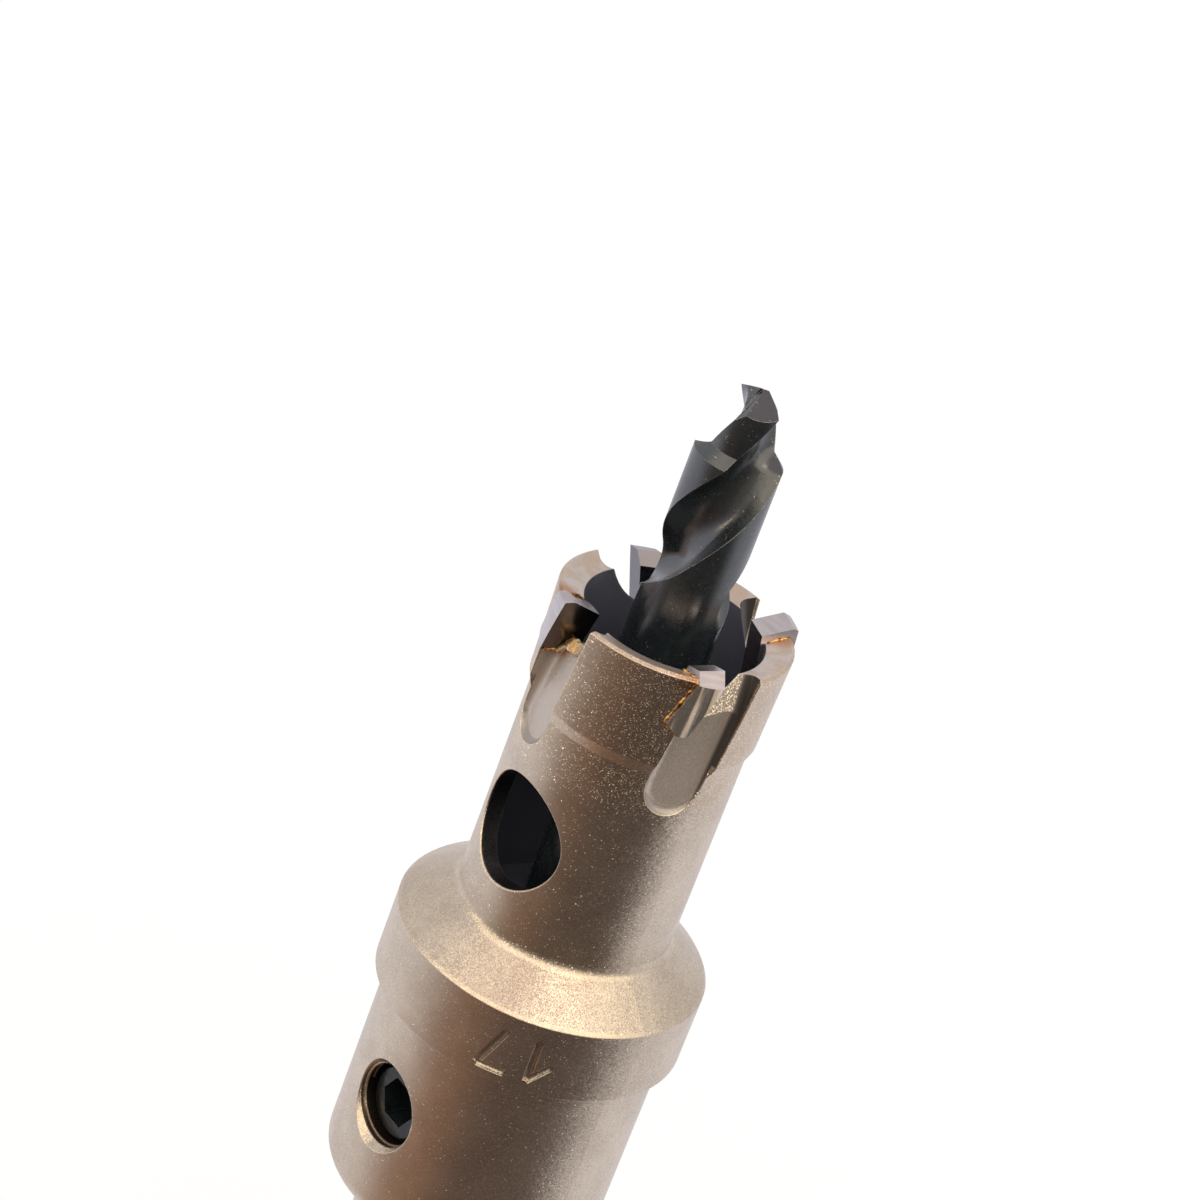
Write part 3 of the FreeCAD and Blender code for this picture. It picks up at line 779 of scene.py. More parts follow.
class GeometryTree(NodeTree):
    """Geometry Nodes tree with named sizes."""

    def __init__(self, name: str, sizes: dict[str, float]) -> None:
        """Makes the tree with its sockets.

        Args:
            name: The tree's name.
            sizes: Named inputs with their values in metres or plain numbers.
        """
        super().__init__(bpy.data.node_groups.new(name, "GeometryNodeTree"))
        self.sizes = sizes
        self.keys: dict[str, str] = {}
        for side in ("OUTPUT", "INPUT"):
            self.tree.interface.new_socket("Geometry", in_out=side, socket_type="NodeSocketGeometry")
        for size in sizes:
            item = self.tree.interface.new_socket(size, in_out="INPUT", socket_type="NodeSocketFloat")
            self.keys[size] = item.identifier
        self.start = self.tree.nodes.new("NodeGroupInput")
        self.end = self.tree.nodes.new("NodeGroupOutput")

    def size(self, name: str) -> Socket:
        """The socket of a named size."""
        return self.start.outputs[name]

    def line(self) -> Socket:
        """The mesh that the tree starts from, as curves."""
        return self.add("GeometryNodeMeshToCurve", {0: self.start.outputs[0]}).outputs[0]

    def tube(self, line: Socket, radius: str, sides: int, scale: Number = 1.0) -> Socket:
        """Sweeps a circle along a line.

        Args:
            line: The curve.
            radius: Name of the size that is the circle's radius.
            sides: Number of the circle's sides.
            scale: Factor of the radius along the line.

        Returns:
            The closed tube.
        """
        circle = {"Resolution": sides, "Radius": self.size(radius)}
        ring = self.add("GeometryNodeCurvePrimitiveCircle", circle)
        sweep = {"Curve": line, "Profile Curve": ring.outputs[0], "Scale": scale, "Fill Caps": True}
        return self.add("GeometryNodeCurveToMesh", sweep).outputs[0]

    def finish(self, geometry: Socket, material: bpy.types.Material) -> None:
        """Ends the tree in Realize Instances and Set Material.

        Args:
            geometry: What the tree has made.
            material: Its finish.
        """
        real = self.add("GeometryNodeRealizeInstances", {0: geometry})
        dressed = self.add("GeometryNodeSetMaterial", {"Geometry": real.outputs[0], "Material": material})
        self.tree.links.new(dressed.outputs[0], self.end.inputs[0])

    def evaluate(self, name: str, paths: list[Path]) -> bpy.types.Object:
        """Runs the tree on some lines and keeps the result as a plain closed piece.

        Args:
            name: The new object's name.
            paths: Points of each line, none for a tree that draws its own.

        Returns:
            An object at the origin with no modifier.
        """
        carrier = add_object(name, polyline_mesh(name, paths))
        modifier = carrier.modifiers.new(self.tree.name, "NODES")
        modifier.node_group = self.tree
        for size, key in self.keys.items():
            modifier[key] = self.sizes[size]
        keep_result(carrier)
        orient_outwards(carrier)
        carrier.data.name = name
        return carrier


def keep_result(piece: bpy.types.Object) -> None:
    """Puts what an object's modifiers make in the place of its mesh, and removes them.

    Args:
        piece: The object.
    """
    graph = bpy.context.evaluated_depsgraph_get()
    made = bpy.data.meshes.new_from_object(piece.evaluated_get(graph))
    piece.modifiers.clear()
    piece.data = made


def polyline_mesh(name: str, paths: list[Path]) -> bpy.types.Mesh:
    """Makes a mesh of open polylines.

    Args:
        name: The mesh's name.
        paths: Points of each line in millimetres.

    Returns:
        A mesh in metres with vertices and edges only.
    """
    points: Path = []
    edges: list[tuple[int, int]] = []
    for path in paths:
        edges += [(len(points) + k, len(points) + k + 1) for k in range(len(path) - 1)]
        points += [point * MM for point in path]
    mesh = bpy.data.meshes.new(name)
    mesh.from_pydata(points, edges, [])
    return mesh


def orient_outwards(piece: bpy.types.Object) -> None:
    """Merges a closed piece's doubles, turns its faces outwards and shades it smooth.

    Args:
        piece: The piece.
    """
    work = bmesh.new()
    work.from_mesh(piece.data)
    bmesh.ops.remove_doubles(work, verts=work.verts, dist=1e-7)
    bmesh.ops.recalc_face_normals(work, faces=work.faces)
    for face in work.faces:
        face.smooth = True
    work.to_mesh(piece.data)
    work.free()


def dress(mesh: bpy.types.Mesh, material: bpy.types.Material) -> None:
    """Gives a mesh one finish."""
    mesh.materials.clear()
    mesh.materials.append(material)


def dress_node(node: str, material: bpy.types.Material) -> None:
    """Gives a CAD node its finish."""
    dress(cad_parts[node].data, material)
    LOG.info("%s: %s", node, material.name)


def add_piece(piece: bpy.types.Object, node: str | None = None) -> None:
    """Lets a new piece ride on the tool.

    Args:
        piece: The piece.
        node: The CAD node that it stands for, if there is one.
    """
    if node is not None:
        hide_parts(node)
    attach(piece, ROOT_BODY)
    LOG.info("%s: %d faces", piece.name, len(piece.data.polygons))


@dataclass(frozen=True)
class ToothSeat:
    """Place of one carbide tip in the cup's wall."""

    azimuth: float
    thickness: float
    lean: float = 17.5
    edge_height: float = 1.15
    bottom_depth: float = 3.71
    heel_depth: float = 2.95
    sole_length: float = 0.66
    rim: float = 47.4
    bore_radius: float = 6.25
    head_radius: float = 8.06

    def before(self, height: float, radius: float, ahead: float = 0.0) -> Vector:
        """Point of the leaning cutting face, or ahead of it.

        Args:
            height: Height above the rim.
            radius: Distance from the axis.
            ahead: Distance from the face, sideways.

        Returns:
            The point.
        """
        side = (height - self.edge_height) * math.tan(math.radians(self.lean)) + ahead
        outward, sideways = level_axes(self.azimuth)
        reach = math.sqrt(radius * radius - side * side)
        return outward * reach + sideways * side + Vector((0.0, 0.0, self.rim + height))

    def behind(self, height: float, radius: float) -> Vector:
        """Point of the back face at a height above the rim."""
        return self.before(height, radius, -self.thickness / math.cos(math.radians(self.lean)))

    def back_path(self) -> Path:
        """Seam behind the tip: across the rim, down the outside and along the sole.

        Returns:
            Points from the bore to the gullet.
        """
        head, sole = self.head_radius, -self.bottom_depth
        return [
            self.behind(0.05, self.bore_radius + 0.1),
            self.behind(0.3, 7.1),
            self.behind(0.45, head - 0.2),
            self.behind(0.2, head),
            self.behind(-1.4, head),
            self.behind(-self.heel_depth, head - 0.02),
            self.before(sole, head - 0.04, -self.sole_length),
            self.before(sole, head - 0.05, -0.1),
        ]

    def front_path(self) -> Path:
        """Seam under the cutting face, where the gullet's floor meets the tip.

        Returns:
            Points from the outside to the bore.
        """
        sole = -self.bottom_depth
        return [
            self.before(sole, self.head_radius - 0.05),
            self.before(sole, 6.75),
            self.before(-2.9, 6.45),
            self.before(-2.45, self.bore_radius + 0.05),
        ]

    def pool_path(self) -> Path:
        """Thick end of the front seam, at the cup's wall."""
        sole = -self.bottom_depth
        return [self.before(sole, 6.95, 0.2), self.before(-2.9, 6.55, 0.35), self.before(-2.6, 6.4, 0.95)]


@dataclass(frozen=True)
class Bead:
    """Uneven bead of braze along a seam."""

    finish: Braze
    radius: float
    lump: float
    sides: int = 8
    step: float = 0.09
    wobble: float = 0.09
    thinnest: float = 0.45
    thickest: float = 1.5

    def build(self) -> GeometryTree:
        """Builds the tree that draws the bead.

        Returns:
            The finished tree.
        """
        tree = GeometryTree("braze_bead", {
            "Bead Radius": self.radius * MM,
            "Step": self.step * MM,
            "Wobble": self.wobble * MM,
            "Lump Scale": 1.0 / (self.lump * MM),
        })
        line = {"Curve": tree.line(), "Length": tree.size("Step")}
        even = tree.add("GeometryNodeResampleCurve", line, mode="LENGTH")
        place = tree.add("GeometryNodeInputPosition").outputs[0]
        noise = {"Vector": place, "Scale": tree.size("Lump Scale"), "Detail": 1.0}
        lumps = tree.add("ShaderNodeTexNoise", noise).outputs
        swell = {"From Min": 0.3, "From Max": 0.7, "To Min": self.thinnest, "To Max": self.thickest}
        scale = tree.add("ShaderNodeMapRange", {"Value": lumps["Fac"], **swell}).outputs["Result"]
        tube = tree.tube(even.outputs[0], "Bead Radius", self.sides, scale)
        shift = tree.add("ShaderNodeVectorMath", {0: lumps["Color"], 1: MIDDLE}, operation="SUBTRACT")
        shift = {0: shift.outputs[0], "Scale": tree.size("Wobble")}
        sized = tree.add("ShaderNodeVectorMath", shift, operation="SCALE")
        uneven = tree.add("GeometryNodeSetPosition", {"Geometry": tube, "Offset": sized.outputs[0]})
        tree.finish(uneven.outputs[0], self.finish.build())
        return tree


@dataclass(frozen=True)
class CarbideTips:
    """The four tips and the brazing metal that holds them."""

    first_azimuth: float = -102.6
    thicknesses: tuple[float, ...] = (1.5, 1.72, 1.7, 1.74)
    pooled: tuple[int, ...] = (1,)
    finish: GroundCarbide = GroundCarbide()
    bead: Bead = Bead(Braze(), 0.13, 0.45)
    pool: Bead = Bead(Braze("pool", (0.66, 0.43, 0.20), (1.0, 0.83, 0.52), 0.3, 0.8, 0.15), 0.36, 1.1)

    def seats(self) -> list[ToothSeat]:
        """The seats in the order of the nodes."""
        pitch = 360.0 / len(self.thicknesses)
        return [ToothSeat(self.first_azimuth + pitch * k, thick) for k, thick in enumerate(self.thicknesses)]

    def heat_spots(self) -> tuple[Vector, ...]:
        """Points behind and under each tip where the body is heat-tinted."""
        pairs = [(seat.behind(0.2, 7.6), seat.before(-3.2, 7.2)) for seat in self.seats()]
        return tuple(spot for pair in pairs for spot in pair)

    def build(self) -> None:
        """Dresses the tips and adds their beads and pools."""
        finish = self.finish.build()
        beads = self.bead.build()
        pools = self.pool.build()
        for number, seat in enumerate(self.seats(), start=1):
            dress_node(f"carbide_tip_{number}", finish)
            add_piece(beads.evaluate(f"braze_{number}", [seat.back_path(), seat.front_path()]))
            if number in self.pooled:
                add_piece(pools.evaluate(f"braze_pool_{number}", [seat.pool_path()]))


@dataclass(frozen=True)
class ScrewThread:
    """Thread ridge that shows between the hole's mouth and the set screw."""

    name: str = "screw_thread"
    height: float = 8.45
    hole_radius: float = 2.95
    ridge_radius: float = 0.15
    pitch: float = 0.5
    turns: float = 1.5
    first_depth: float = 9.32
    segments: int = 96
    sides: int = 10

    def build(self, material: bpy.types.Material) -> None:
        """Builds the ridge.

        Args:
            material: The body's finish.
        """
        tree = GeometryTree(self.name, {
            "Hole Radius": self.hole_radius * MM,
            "Ridge Radius": self.ridge_radius * MM,
            "Height": self.pitch * self.turns * MM,
            "Turns": self.turns,
        })
        spiral = tree.add("GeometryNodeCurveSpiral", {
            "Resolution": self.segments, "Rotations": tree.size("Turns"), "Height": tree.size("Height"),
            "Start Radius": tree.size("Hole Radius"), "End Radius": tree.size("Hole Radius"),
        })
        tree.finish(tree.tube(spiral.outputs[0], "Ridge Radius", self.sides), material)
        piece = tree.evaluate(self.name, [])
        turn = Matrix.Rotation(math.radians(-90.0), 4, "X")
        place = Matrix.Translation(Vector((0.0, -self.first_depth, self.height)) * MM)
        piece.data.transform(place @ turn)
        add_piece(piece)


@dataclass(frozen=True)
class Engraving:
    """Cuts the size number's strokes out of a copy of a CAD node."""

    mark: SizeMark = SizeMark()
    name: str = "engraved_body"
    stroke_radius: float = 0.25
    sides: int = 12
    tolerance: float = 0.001

    def cut(self, piece: bpy.types.Object, name: str, paths: list[Path]) -> None:
        """Cuts round bars out of the piece for good.

        Args:
            piece: The copy that is engraved.
            name: Name of the bars.
            paths: The strokes that they follow.
        """
        tree = GeometryTree("stroke", {"Stroke Radius": self.stroke_radius * MM})
        tree.finish(tree.tube(tree.line(), "Stroke Radius", self.sides), bpy.data.materials.new(name))
        bars = tree.evaluate(name, paths)
        modifier = piece.modifiers.new("engraving", "BOOLEAN")
        modifier.object = bars
        modifier.solver = "EXACT"
        keep_result(piece)
        bpy.data.objects.remove(bars)

    def restore_normals(self, mesh: bpy.types.Mesh, source: bpy.types.Mesh) -> None:
        """Gives the untouched faces the source's normals and smooths the strokes.

        Args:
            mesh: The cut mesh.
            source: The solid's own mesh, all triangles.
        """
        triangles = [tuple(face.vertices) for face in source.polygons]
        near = BVHTree.FromPolygons([vertex.co for vertex in source.vertices], triangles)
        own = [corner.vector.copy() for corner in source.corner_normals]
        hits = [near.find_nearest(face.center) for face in mesh.polygons]
        groove: dict[int, Vector] = {}
        for face, hit in zip(mesh.polygons, hits):
            if hit[3] > self.tolerance * MM:
                for vertex in face.vertices:
                    groove[vertex] = groove.get(vertex, Vector()) + face.normal * face.area
        normals = []
        for face, hit in zip(mesh.polygons, hits):
            base = source.polygons[hit[2]]
            corners = [source.vertices[vertex].co for vertex in base.vertices]
            given = [own[loop] for loop in base.loop_indices]
            for vertex in face.vertices:
                normal = groove.get(vertex)
                if hit[3] <= self.tolerance * MM:
                    normal = barycentric_transform(mesh.vertices[vertex].co, *corners, *given)
                normals.append(normal.normalized())
        mesh.shade_smooth()
        mesh.normals_split_custom_set(normals)

    def build(self, node: str, material: bpy.types.Material) -> None:
        """Puts an engraved copy in the place of a node.

        Args:
            node: The CAD node that is copied.
            material: The copy's finish.
        """
        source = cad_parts[node].data
        piece = add_object(self.name, source.copy())
        orient_outwards(piece)
        strokes = [self.mark.path(start, end) for start, end in self.mark.strokes()]
        # Strokes that meet are cut one after the other.
        for number, paths in enumerate((strokes[::2], strokes[1::2])):
            self.cut(piece, f"bars_{number}", paths)
        self.restore_normals(piece.data, source)
        piece.data.name = self.name
        dress(piece.data, material)
        add_piece(piece, node)


@dataclass(frozen=True)
class CutterBody:
    """Shank, body, collar and toothed cup."""

    finish: BlastedNickel
    node: str = "cutter_body"
    engraving: Engraving = Engraving()
    thread: ScrewThread = ScrewThread()

    def build(self) -> None:
        """Engraves and dresses the body, and adds the thread in its side."""
        material = self.finish.build()
        self.engraving.build(self.node, material)
        self.thread.build(material)


def ease(value: float) -> float:
    """Smooth step from nought to one."""
    value = min(1.0, max(0.0, value))
    return value * value * (3.0 - 2.0 * value)


@dataclass(frozen=True)
class DrillBlank:
    """Turned drill with its step and clamp flat, before it is fluted."""

    radius: float = 3.0
    step_radius: float = 2.25
    step_bottom: float = 60.0
    step_top: float = 60.75
    top: float = 65.0
    seat: float = 2.5
    end_chamfer: float = 0.4
    flat_side: float = 2.5
    flat_azimuth: float = -90.0
    flat_top: float = 14.5

    def radius_at(self, z: float) -> float:
        """Finds the blank's radius.

        Args:
            z: Height.

        Returns:
            The radius, less at the foot's chamfer and above the step.
        """
        above = min(1.0, max(0.0, (z - self.step_bottom) / (self.step_top - self.step_bottom)))
        step = (self.radius - self.step_radius) * above
        return self.radius - max(0.0, self.seat + self.end_chamfer - z) - step

    def flattened(self, radius: float, azimuth: float, z: float) -> float:
        """Radius where the clamp flat may cut it back."""
        facing = math.cos(math.radians(azimuth - self.flat_azimuth))
        return radius if z > self.flat_top or facing <= 0.0 else min(radius, self.flat_side / facing)


@dataclass(frozen=True)
class DrillPoint:
    """Ground point: two flanks on each half, and a gash before each lip."""

    lip_azimuth: float = -6.7
    web: float = 0.25
    gash_slope: float = 0.35
    gash_depth: float = 1.2
    gash_end: float = 3.0
    gash_fade: tuple[float, float] = (75.0, 115.0)
    primary: tuple[float, float] = (0.436, 0.33)
    secondary: tuple[float, float] = (-0.570, 1.091)

    def drop(self, radius: float, azimuth: float) -> float:
        """How far the ground point lies below its top.

        Args:
            radius: Distance from the axis.
            azimuth: Direction in degrees.

        Returns:
            The drop.
        """
        behind = math.radians(self.lip_azimuth - azimuth)
        if self.slope(self.primary, behind) < 0.0:
            behind += math.pi
        return radius * max(self.slope(self.primary, behind), self.slope(self.secondary, behind))

    def slope(self, facet: tuple[float, float], behind: float) -> float:
        """Fall of a flank in a direction behind the lip, in radians."""
        return facet[0] * math.cos(behind) + facet[1] * math.sin(behind)

    def gashed(self, radius: float, azimuth: float, depth: float, rim: float) -> float:
        """Radius where a gash may cut the web back.

        Args:
            radius: Radius before the gash.
            azimuth: Direction in degrees.
            depth: Depth below the top.
            rim: Radius of the lips' outer corners.

        Returns:
            The radius that is left.
        """
        width = self.web + self.gash_slope * depth + self.gash_end * max(0.0, depth - self.gash_depth) ** 2
        lip_line = self.lip_azimuth - math.degrees(math.asin(self.web / rim))
        ahead = (azimuth - lip_line) % 180.0
        start, end = self.gash_fade
        if not 1.0 < ahead < end or width >= radius:
            return radius
        limit = width / math.sin(math.radians(min(ahead, 90.0)))
        kept = ease((ahead - start) / (end - start))
        return min(radius, limit + (radius - limit) * kept)


@dataclass(frozen=True)
class StepDrillForm:
    """Fluted step drill, whose surface is ruled by columns that follow the flutes."""

    blank: DrillBlank = DrillBlank()
    point: DrillPoint = DrillPoint()
    lead: float = 27.07
    flute_azimuth: float = 58.3
    flute_radius: float = 2.8
    flute_centre: float = 3.65
    runout_top: float = 51.9
    runout_end: float = 48.3
    heel_turn: float = 20.0
    heel_start: float = 59.7
    heel_end: float = 61.0
    wall_lean: float = 0.8
    narrowest: float = 4.0
    wall_columns: int = 3
    flute_columns: int = 40
    land_columns: int = 16
    plain_rows: int = 8
    row_step: float = 0.125
    fluted_start: float = 48.0
    point_start: float = 62.0
    point_rows: int = 24
    halvings: int = 24

    @property
    def half_columns(self) -> int:
        """Columns in half a turn."""
        return self.flute_columns + 2 * self.wall_columns + self.land_columns

    def turn(self, z: float) -> float:
        """Turn of the flutes at a height, against their place at the top."""
        return (max(z, self.runout_end) - self.blank.top) * 360.0 / self.lead

    def reach(self, z: float) -> float:
        """Distance of a flute's centre from the axis, which grows in the run-out."""
        out = ease((self.runout_top - z) / (self.runout_top - self.runout_end))
        return self.flute_centre + (self.blank.radius + self.flute_radius - self.flute_centre) * out

    def heel(self, z: float) -> float:
        """Extra width of the flutes above the step, in degrees."""
        return self.heel_turn * ease((z - self.heel_start) / (self.heel_end - self.heel_start))

    def half_width(self, z: float) -> float:
        """Finds half of a flute's width at the drill's surface.

        Args:
            z: Height.

        Returns:
            The half width in degrees.
        """
        rim, reach = self.blank.radius_at(z), self.reach(z)
        cosine = (reach ** 2 + rim ** 2 - self.flute_radius ** 2) / (2.0 * reach * rim)
        return max(self.narrowest, math.degrees(math.acos(min(1.0, cosine))))

    def floor(self, offset: float, z: float) -> float:
        """Finds a flute's floor.

        Args:
            offset: Degrees from the flute's middle line.
            z: Height.

        Returns:
            The floor's radius.
        """
        rim, reach = self.blank.radius_at(z), self.reach(z)
        bend = math.radians(offset if offset < 0.0 else max(0.0, offset - self.heel(z)))
        across = reach * math.sin(bend)
        if abs(across) >= self.flute_radius:
            return rim
        return min(rim, reach * math.cos(bend) - math.sqrt(self.flute_radius ** 2 - across ** 2))

    def place(self, column: int, z: float) -> tuple[float, float]:
        """Finds a column of the first half.

        Args:
            column: Number of the column, from the flute's leading edge.
            z: Height.

        Returns:
            The offset from the flute's middle line in degrees, and the radius.
        """
        rim, half, heel = self.blank.radius_at(z), self.half_width(z), self.heel(z)
        lean = min(self.wall_lean, 0.1 * half)
        first = self.wall_columns
        last = self.flute_columns + 2 * self.wall_columns
        if column <= first or last - first <= column <= last:
            share = min(column, last - column) / self.wall_columns
            edge, foot = (-half, -half + lean) if column <= first else (half + heel, half + heel - lean)
            return edge + (foot - edge) * share, rim + (self.floor(foot, z) - rim) * share
        if column < last:
            share = (column - first) / self.flute_columns
            offset = -half + lean + (2.0 * (half - lean) + heel) * share
            return offset, self.floor(offset, z)
        share = (column - last) / self.land_columns
        return half + heel + (180.0 - 2.0 * half - heel) * share, rim

    def spot(self, column: int, z: float) -> Vector:
        """Finds a column's point, with the flat and the gashes ground in.

        Args:
            column: Number of the column, on either half.
            z: Height.

        Returns:
            Radius, azimuth in degrees and height.
        """
        side, number = divmod(column, self.half_columns)
        offset, radius = self.place(number, z)
        azimuth = self.flute_azimuth + self.turn(z) + offset + 180.0 * side
        radius = self.blank.flattened(radius, azimuth, z)
        radius = self.point.gashed(radius, azimuth, self.blank.top - z, self.blank.step_radius)
        return Vector((radius, azimuth, z))

    def end_height(self, column: int) -> float:
        """Finds where a column meets the ground point, by halving.

        Args:
            column: Number of the column.

        Returns:
            The height.
        """
        low, high = self.point_start - 1.0, self.blank.top
        for _ in range(self.halvings):
            middle = (low + high) / 2.0
            spot = self.spot(column, middle)
            below = middle < self.blank.top - self.point.drop(spot.x, spot.y)
            low, high = (middle, high) if below else (low, middle)
        return low

    def heights(self) -> list[float]:
        """Finds the level rows, close together where the drill is fluted.

        Returns:
            Their heights from the foot up.
        """
        blank = self.blank
        plain = [blank.seat, blank.seat + blank.end_chamfer, blank.flat_top, blank.flat_top + 0.01]
        reach = self.fluted_start - blank.flat_top
        plain += [blank.flat_top + reach * k / self.plain_rows for k in range(1, self.plain_rows + 1)]
        count = round((self.point_start - self.fluted_start) / self.row_step)
        return plain + [self.fluted_start + self.row_step * k for k in range(1, count + 1)]

    def mesh(self, name: str) -> bpy.types.Mesh:
        """Builds the closed mesh.

        Args:
            name: The mesh's name.

        Returns:
            The mesh in metres.
        """
        columns = range(2 * self.half_columns)
        rows = [[self.spot(column, z) for column in columns] for z in self.heights()]
        rises = [self.end_height(column) - self.point_start for column in columns]
        for step in range(1, self.point_rows + 1):
            share = step / self.point_rows
            rows.append([self.spot(column, self.point_start + rises[column] * share) for column in columns])
        points = [polar(*spot) * MM for row in rows for spot in row]
        count = len(columns)
        foot, top, last = len(points), len(points) + 1, (len(rows) - 1) * count
        points += [Vector((0.0, 0.0, z)) * MM for z in (self.blank.seat, self.blank.top)]
        faces = []
        for column in columns:
            after = (column + 1) % count
            for low in range(0, last, count):
                faces.append((low + column, low + after, low + count + after, low + count + column))
            faces += [(after, column, foot), (last + column, last + after, top)]
        mesh = bpy.data.meshes.new(name)
        mesh.from_pydata(points, [], faces)
        return mesh


@dataclass(frozen=True)
class PilotDrill:
    """Step pilot drill, black-oxidised."""

    node: str = "pilot_drill"
    name: str = "step_drill"
    form: StepDrillForm = StepDrillForm()
    finish: BlackOxide = BlackOxide("drill_oxide")
    sharp_angle: float = 28.0

    def build(self) -> None:
        """Builds the finely ground drill in the place of its solid."""
        piece = add_object(self.name, self.form.mesh(self.name))
        orient_outwards(piece)
        piece.data.set_sharp_from_angle(angle=math.radians(self.sharp_angle))
        dress(piece.data, self.finish.build())
        add_piece(piece, self.node)


@dataclass(frozen=True)
class SetScrew:
    """Socket set screw that clamps the drill."""

    node: str = "set_screw"
    finish: BlackOxide = BlackOxide("screw_oxide", roughness=0.14, speck_share=0.0, edge_highlight_strength=0.15, ior=1.45)

    def build(self) -> None:
        """Dresses the screw."""
        dress_node(self.node, self.finish.build())


@dataclass(frozen=True)
class PhotoCamera:
    """Camera at the picture's place, with a plain 120 mm lens."""

    position: tuple[float, float, float] = (157.12, -170.27, 166.40)
    right: tuple[float, float, float] = (0.56181, 0.76584, 0.31280)
    down: tuple[float, float, float] = (0.55130, -0.06469, -0.83180)
    lens: float = 120.0
    sensor: float = 36.0

    def axes(self) -> tuple[Vector, Vector, Vector]:
        """Right, up and backwards, as unit vectors."""
        right, up = Vector(self.right).normalized(), -Vector(self.down).normalized()
        return right, up, right.cross(up).normalized()

    def build(self) -> None:
        """Creates the camera and makes it the scene's."""
        data = bpy.data.cameras.new("camera")
        data.lens = self.lens
        data.sensor_width = self.sensor
        data.clip_start = 0.01
        data.clip_end = 20.0
        camera = add_object("camera", data)
        turn = Matrix(self.axes()).transposed().to_4x4()
        camera.matrix_world = Matrix.Translation(Vector(self.position) * MM) @ turn
        bpy.context.scene.camera = camera


@dataclass(frozen=True)
class Lamp:
    """Square studio lamp, in metres, that faces the middle of the tool."""

    name: str
    sideways: float
    upwards: float
    frontal: float
    distance: float
    size: float
    power: float
    colour: Colour

    def build(self, camera: PhotoCamera, aim: Vector) -> None:
        """Places the lamp in a direction given from the camera's axes.

        Args:
            camera: Camera whose axes give the direction.
            aim: Point that it faces.
        """
        right, up, back = camera.axes()
        direction = (right * self.sideways + up * self.upwards + back * self.frontal).normalized()
        data = bpy.data.lights.new(self.name, "AREA")
        data.shape = "SQUARE"
        data.size = self.size
        data.energy = self.power
        data.color = self.colour
        turn = direction.to_track_quat("Z", "Y").to_matrix().to_4x4()
        add_object(self.name, data).matrix_world = Matrix.Translation(aim + direction * self.distance) @ turn


@dataclass(frozen=True)
class Shade:
    """Dim part of the floor, which the tool's sides mirror."""

    azimuth: float
    spread_start: float
    spread_end: float
    near: Colour
    far: Colour


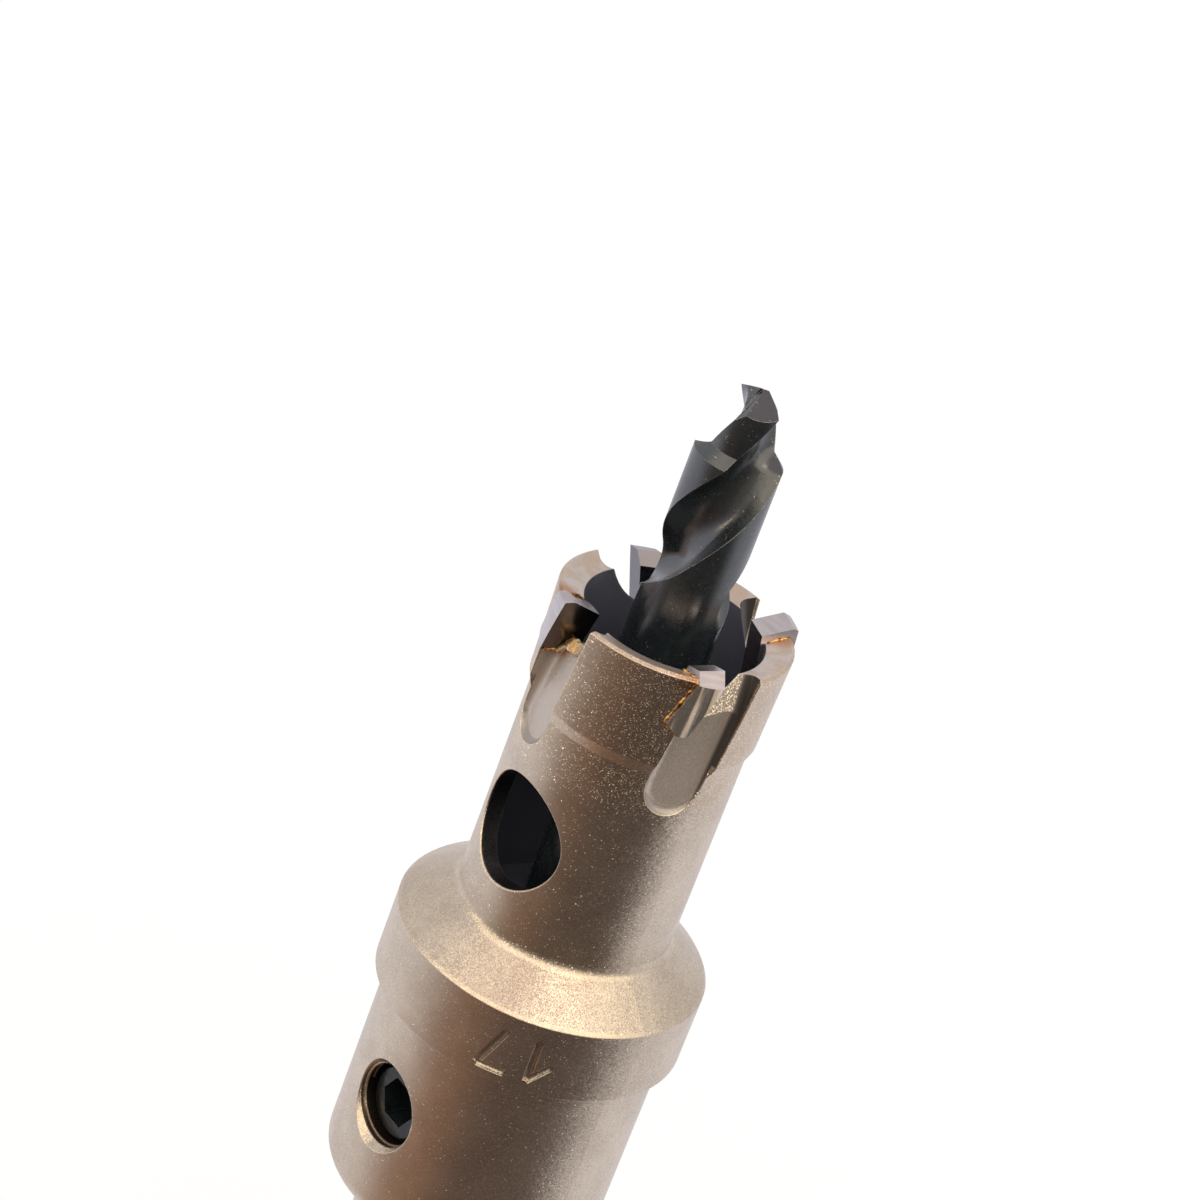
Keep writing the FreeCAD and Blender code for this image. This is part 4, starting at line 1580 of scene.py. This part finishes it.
@dataclass(frozen=True)
class Studio:
    """White surround, pale floor and soft lamps."""

    camera: PhotoCamera = PhotoCamera()
    floor_size: float = 6000.0
    floor_gap: float = 0.04
    floor_white: Colour = (0.95, 0.95, 1.04)
    floor_glow: float = 0.9
    floor_matt: Colour = (0.9, 0.9, 0.9)
    floor_clean: float = 1.03
    shadow_share: float = 0.2
    shades: tuple[Shade, ...] = (
        Shade(-62.0, 0.31, 0.93, (0.30, 0.18, 0.13), (0.33, 0.265, 0.215)),
        Shade(-20.0, 0.48, 0.90, (0.10, 0.074, 0.072), (0.22, 0.19, 0.18)),
    )
    shade_reach: tuple[float, float] = (120.0, 260.0)
    foot_reach: tuple[float, float] = (78.0, 108.0)
    foot_strength: tuple[float, float] = (1.30, 0.62)
    side_wall: Colour = (0.74, 0.73, 0.76)
    front_wall: Colour = (0.36, 0.32, 0.30)
    window_light: Colour = (1.9, 1.72, 1.45)
    ceiling: Colour = (0.90, 0.76, 0.79)
    front_azimuth: float = -38.0
    lamps: tuple[Lamp, ...] = (
        Lamp("key", 0.45, 0.45, 0.77, 0.6, 0.12, 0.20, (1.0, 0.88, 0.70)),
        Lamp("glint", -0.895, 0.357, 0.267, 0.5, 0.05, 0.10, (1.0, 0.80, 0.52)),
    )

    def build_world(self) -> None:
        """White towards the camera, and a soft white room for everything else."""
        world = bpy.data.worlds.new("studio")
        bpy.context.scene.world = world
        shader = Shader(world)
        direction = shader.add("ShaderNodeTexCoord").outputs["Generated"]
        ahead = shader.dot(direction, polar(1.0, self.front_azimuth))
        up = shader.part(direction, Axis.Z)
        wall = shader.blend(shader.span(ahead, -0.1, 0.7), self.side_wall, self.front_wall)
        window = shader.product(shader.span(ahead, -0.25, 0.3), shader.span(up, 0.22, 0.5))
        overhead = shader.span(up, 0.82, 0.95)
        colour = shader.layered(wall, [(window, self.window_light), (overhead, self.ceiling)])
        around = shader.add("ShaderNodeBackground", {"Color": colour})
        plain = shader.add("ShaderNodeBackground", {"Color": opaque(WHITE)})
        shader.add("ShaderNodeOutputWorld", {"Surface": shader.by_ray(plain, around)})

    def floor_material(self) -> bpy.types.Material:
        """White floor that keeps a faint shadow and is dim in front of the tool.

        Returns:
            The finished material.
        """
        material = bpy.data.materials.new("pale_floor")
        shader = Shader(material)
        strength = shader.span(shader.radius, *self.foot_reach, *self.foot_strength)
        distance = shader.span(shader.radius, *self.shade_reach)
        layers = []
        for shade in self.shades:
            facing = shader.dot(shader.unit(shader.level), polar(1.0, shade.azimuth))
            share = shader.span(facing, shade.spread_start, shade.spread_end)
            layers.append((share, shader.scaled(shader.blend(distance, shade.near, shade.far), strength)))
        colour = shader.layered(self.floor_white, layers)
        glow = shader.add("ShaderNodeEmission", {"Color": colour, "Strength": self.floor_glow})
        matt = shader.add("ShaderNodeBsdfDiffuse", {"Color": opaque(self.floor_matt)})
        clean = shader.add("ShaderNodeEmission", {"Color": opaque(WHITE), "Strength": self.floor_clean})
        shares = {0: self.shadow_share, 1: clean.outputs[0], 2: matt.outputs[0]}
        seen = shader.add("ShaderNodeMixShader", shares)
        shader.add("ShaderNodeOutputMaterial", {"Surface": shader.by_ray(seen, glow)})
        return material

    def build_floor(self, bottom: float) -> None:
        """Lays the plain floor just under the shank's end.

        Args:
            bottom: Height of the shank's end in metres.
        """
        half = self.floor_size / 2.0 * MM
        level = bottom - self.floor_gap * MM
        mesh = bpy.data.meshes.new("floor")
        corners = [(x * half, y * half, level) for x, y in ((-1, -1), (1, -1), (1, 1), (-1, 1))]
        mesh.from_pydata(corners, [], [(0, 1, 2, 3)])
        dress(mesh, self.floor_material())
        add_object("floor", mesh)

    def build(self) -> None:
        """Builds the whole stage round the tool."""
        low, high = CAD_BOX
        self.build_world()
        self.build_floor(low.z)
        self.camera.build()
        for lamp in self.lamps:
            lamp.build(self.camera, (low + high) / 2.0)
        bpy.context.scene.view_settings.view_transform = "Standard"


def main() -> None:
    """Dresses every piece and sets the stage."""
    logging.basicConfig(level=logging.INFO)
    tips = CarbideTips()
    CutterBody(BlastedNickel(heat_spots=tips.heat_spots())).build()
    tips.build()
    PilotDrill().build()
    SetScrew().build()
    Studio().build()


if __name__ == "__main__":
    main()
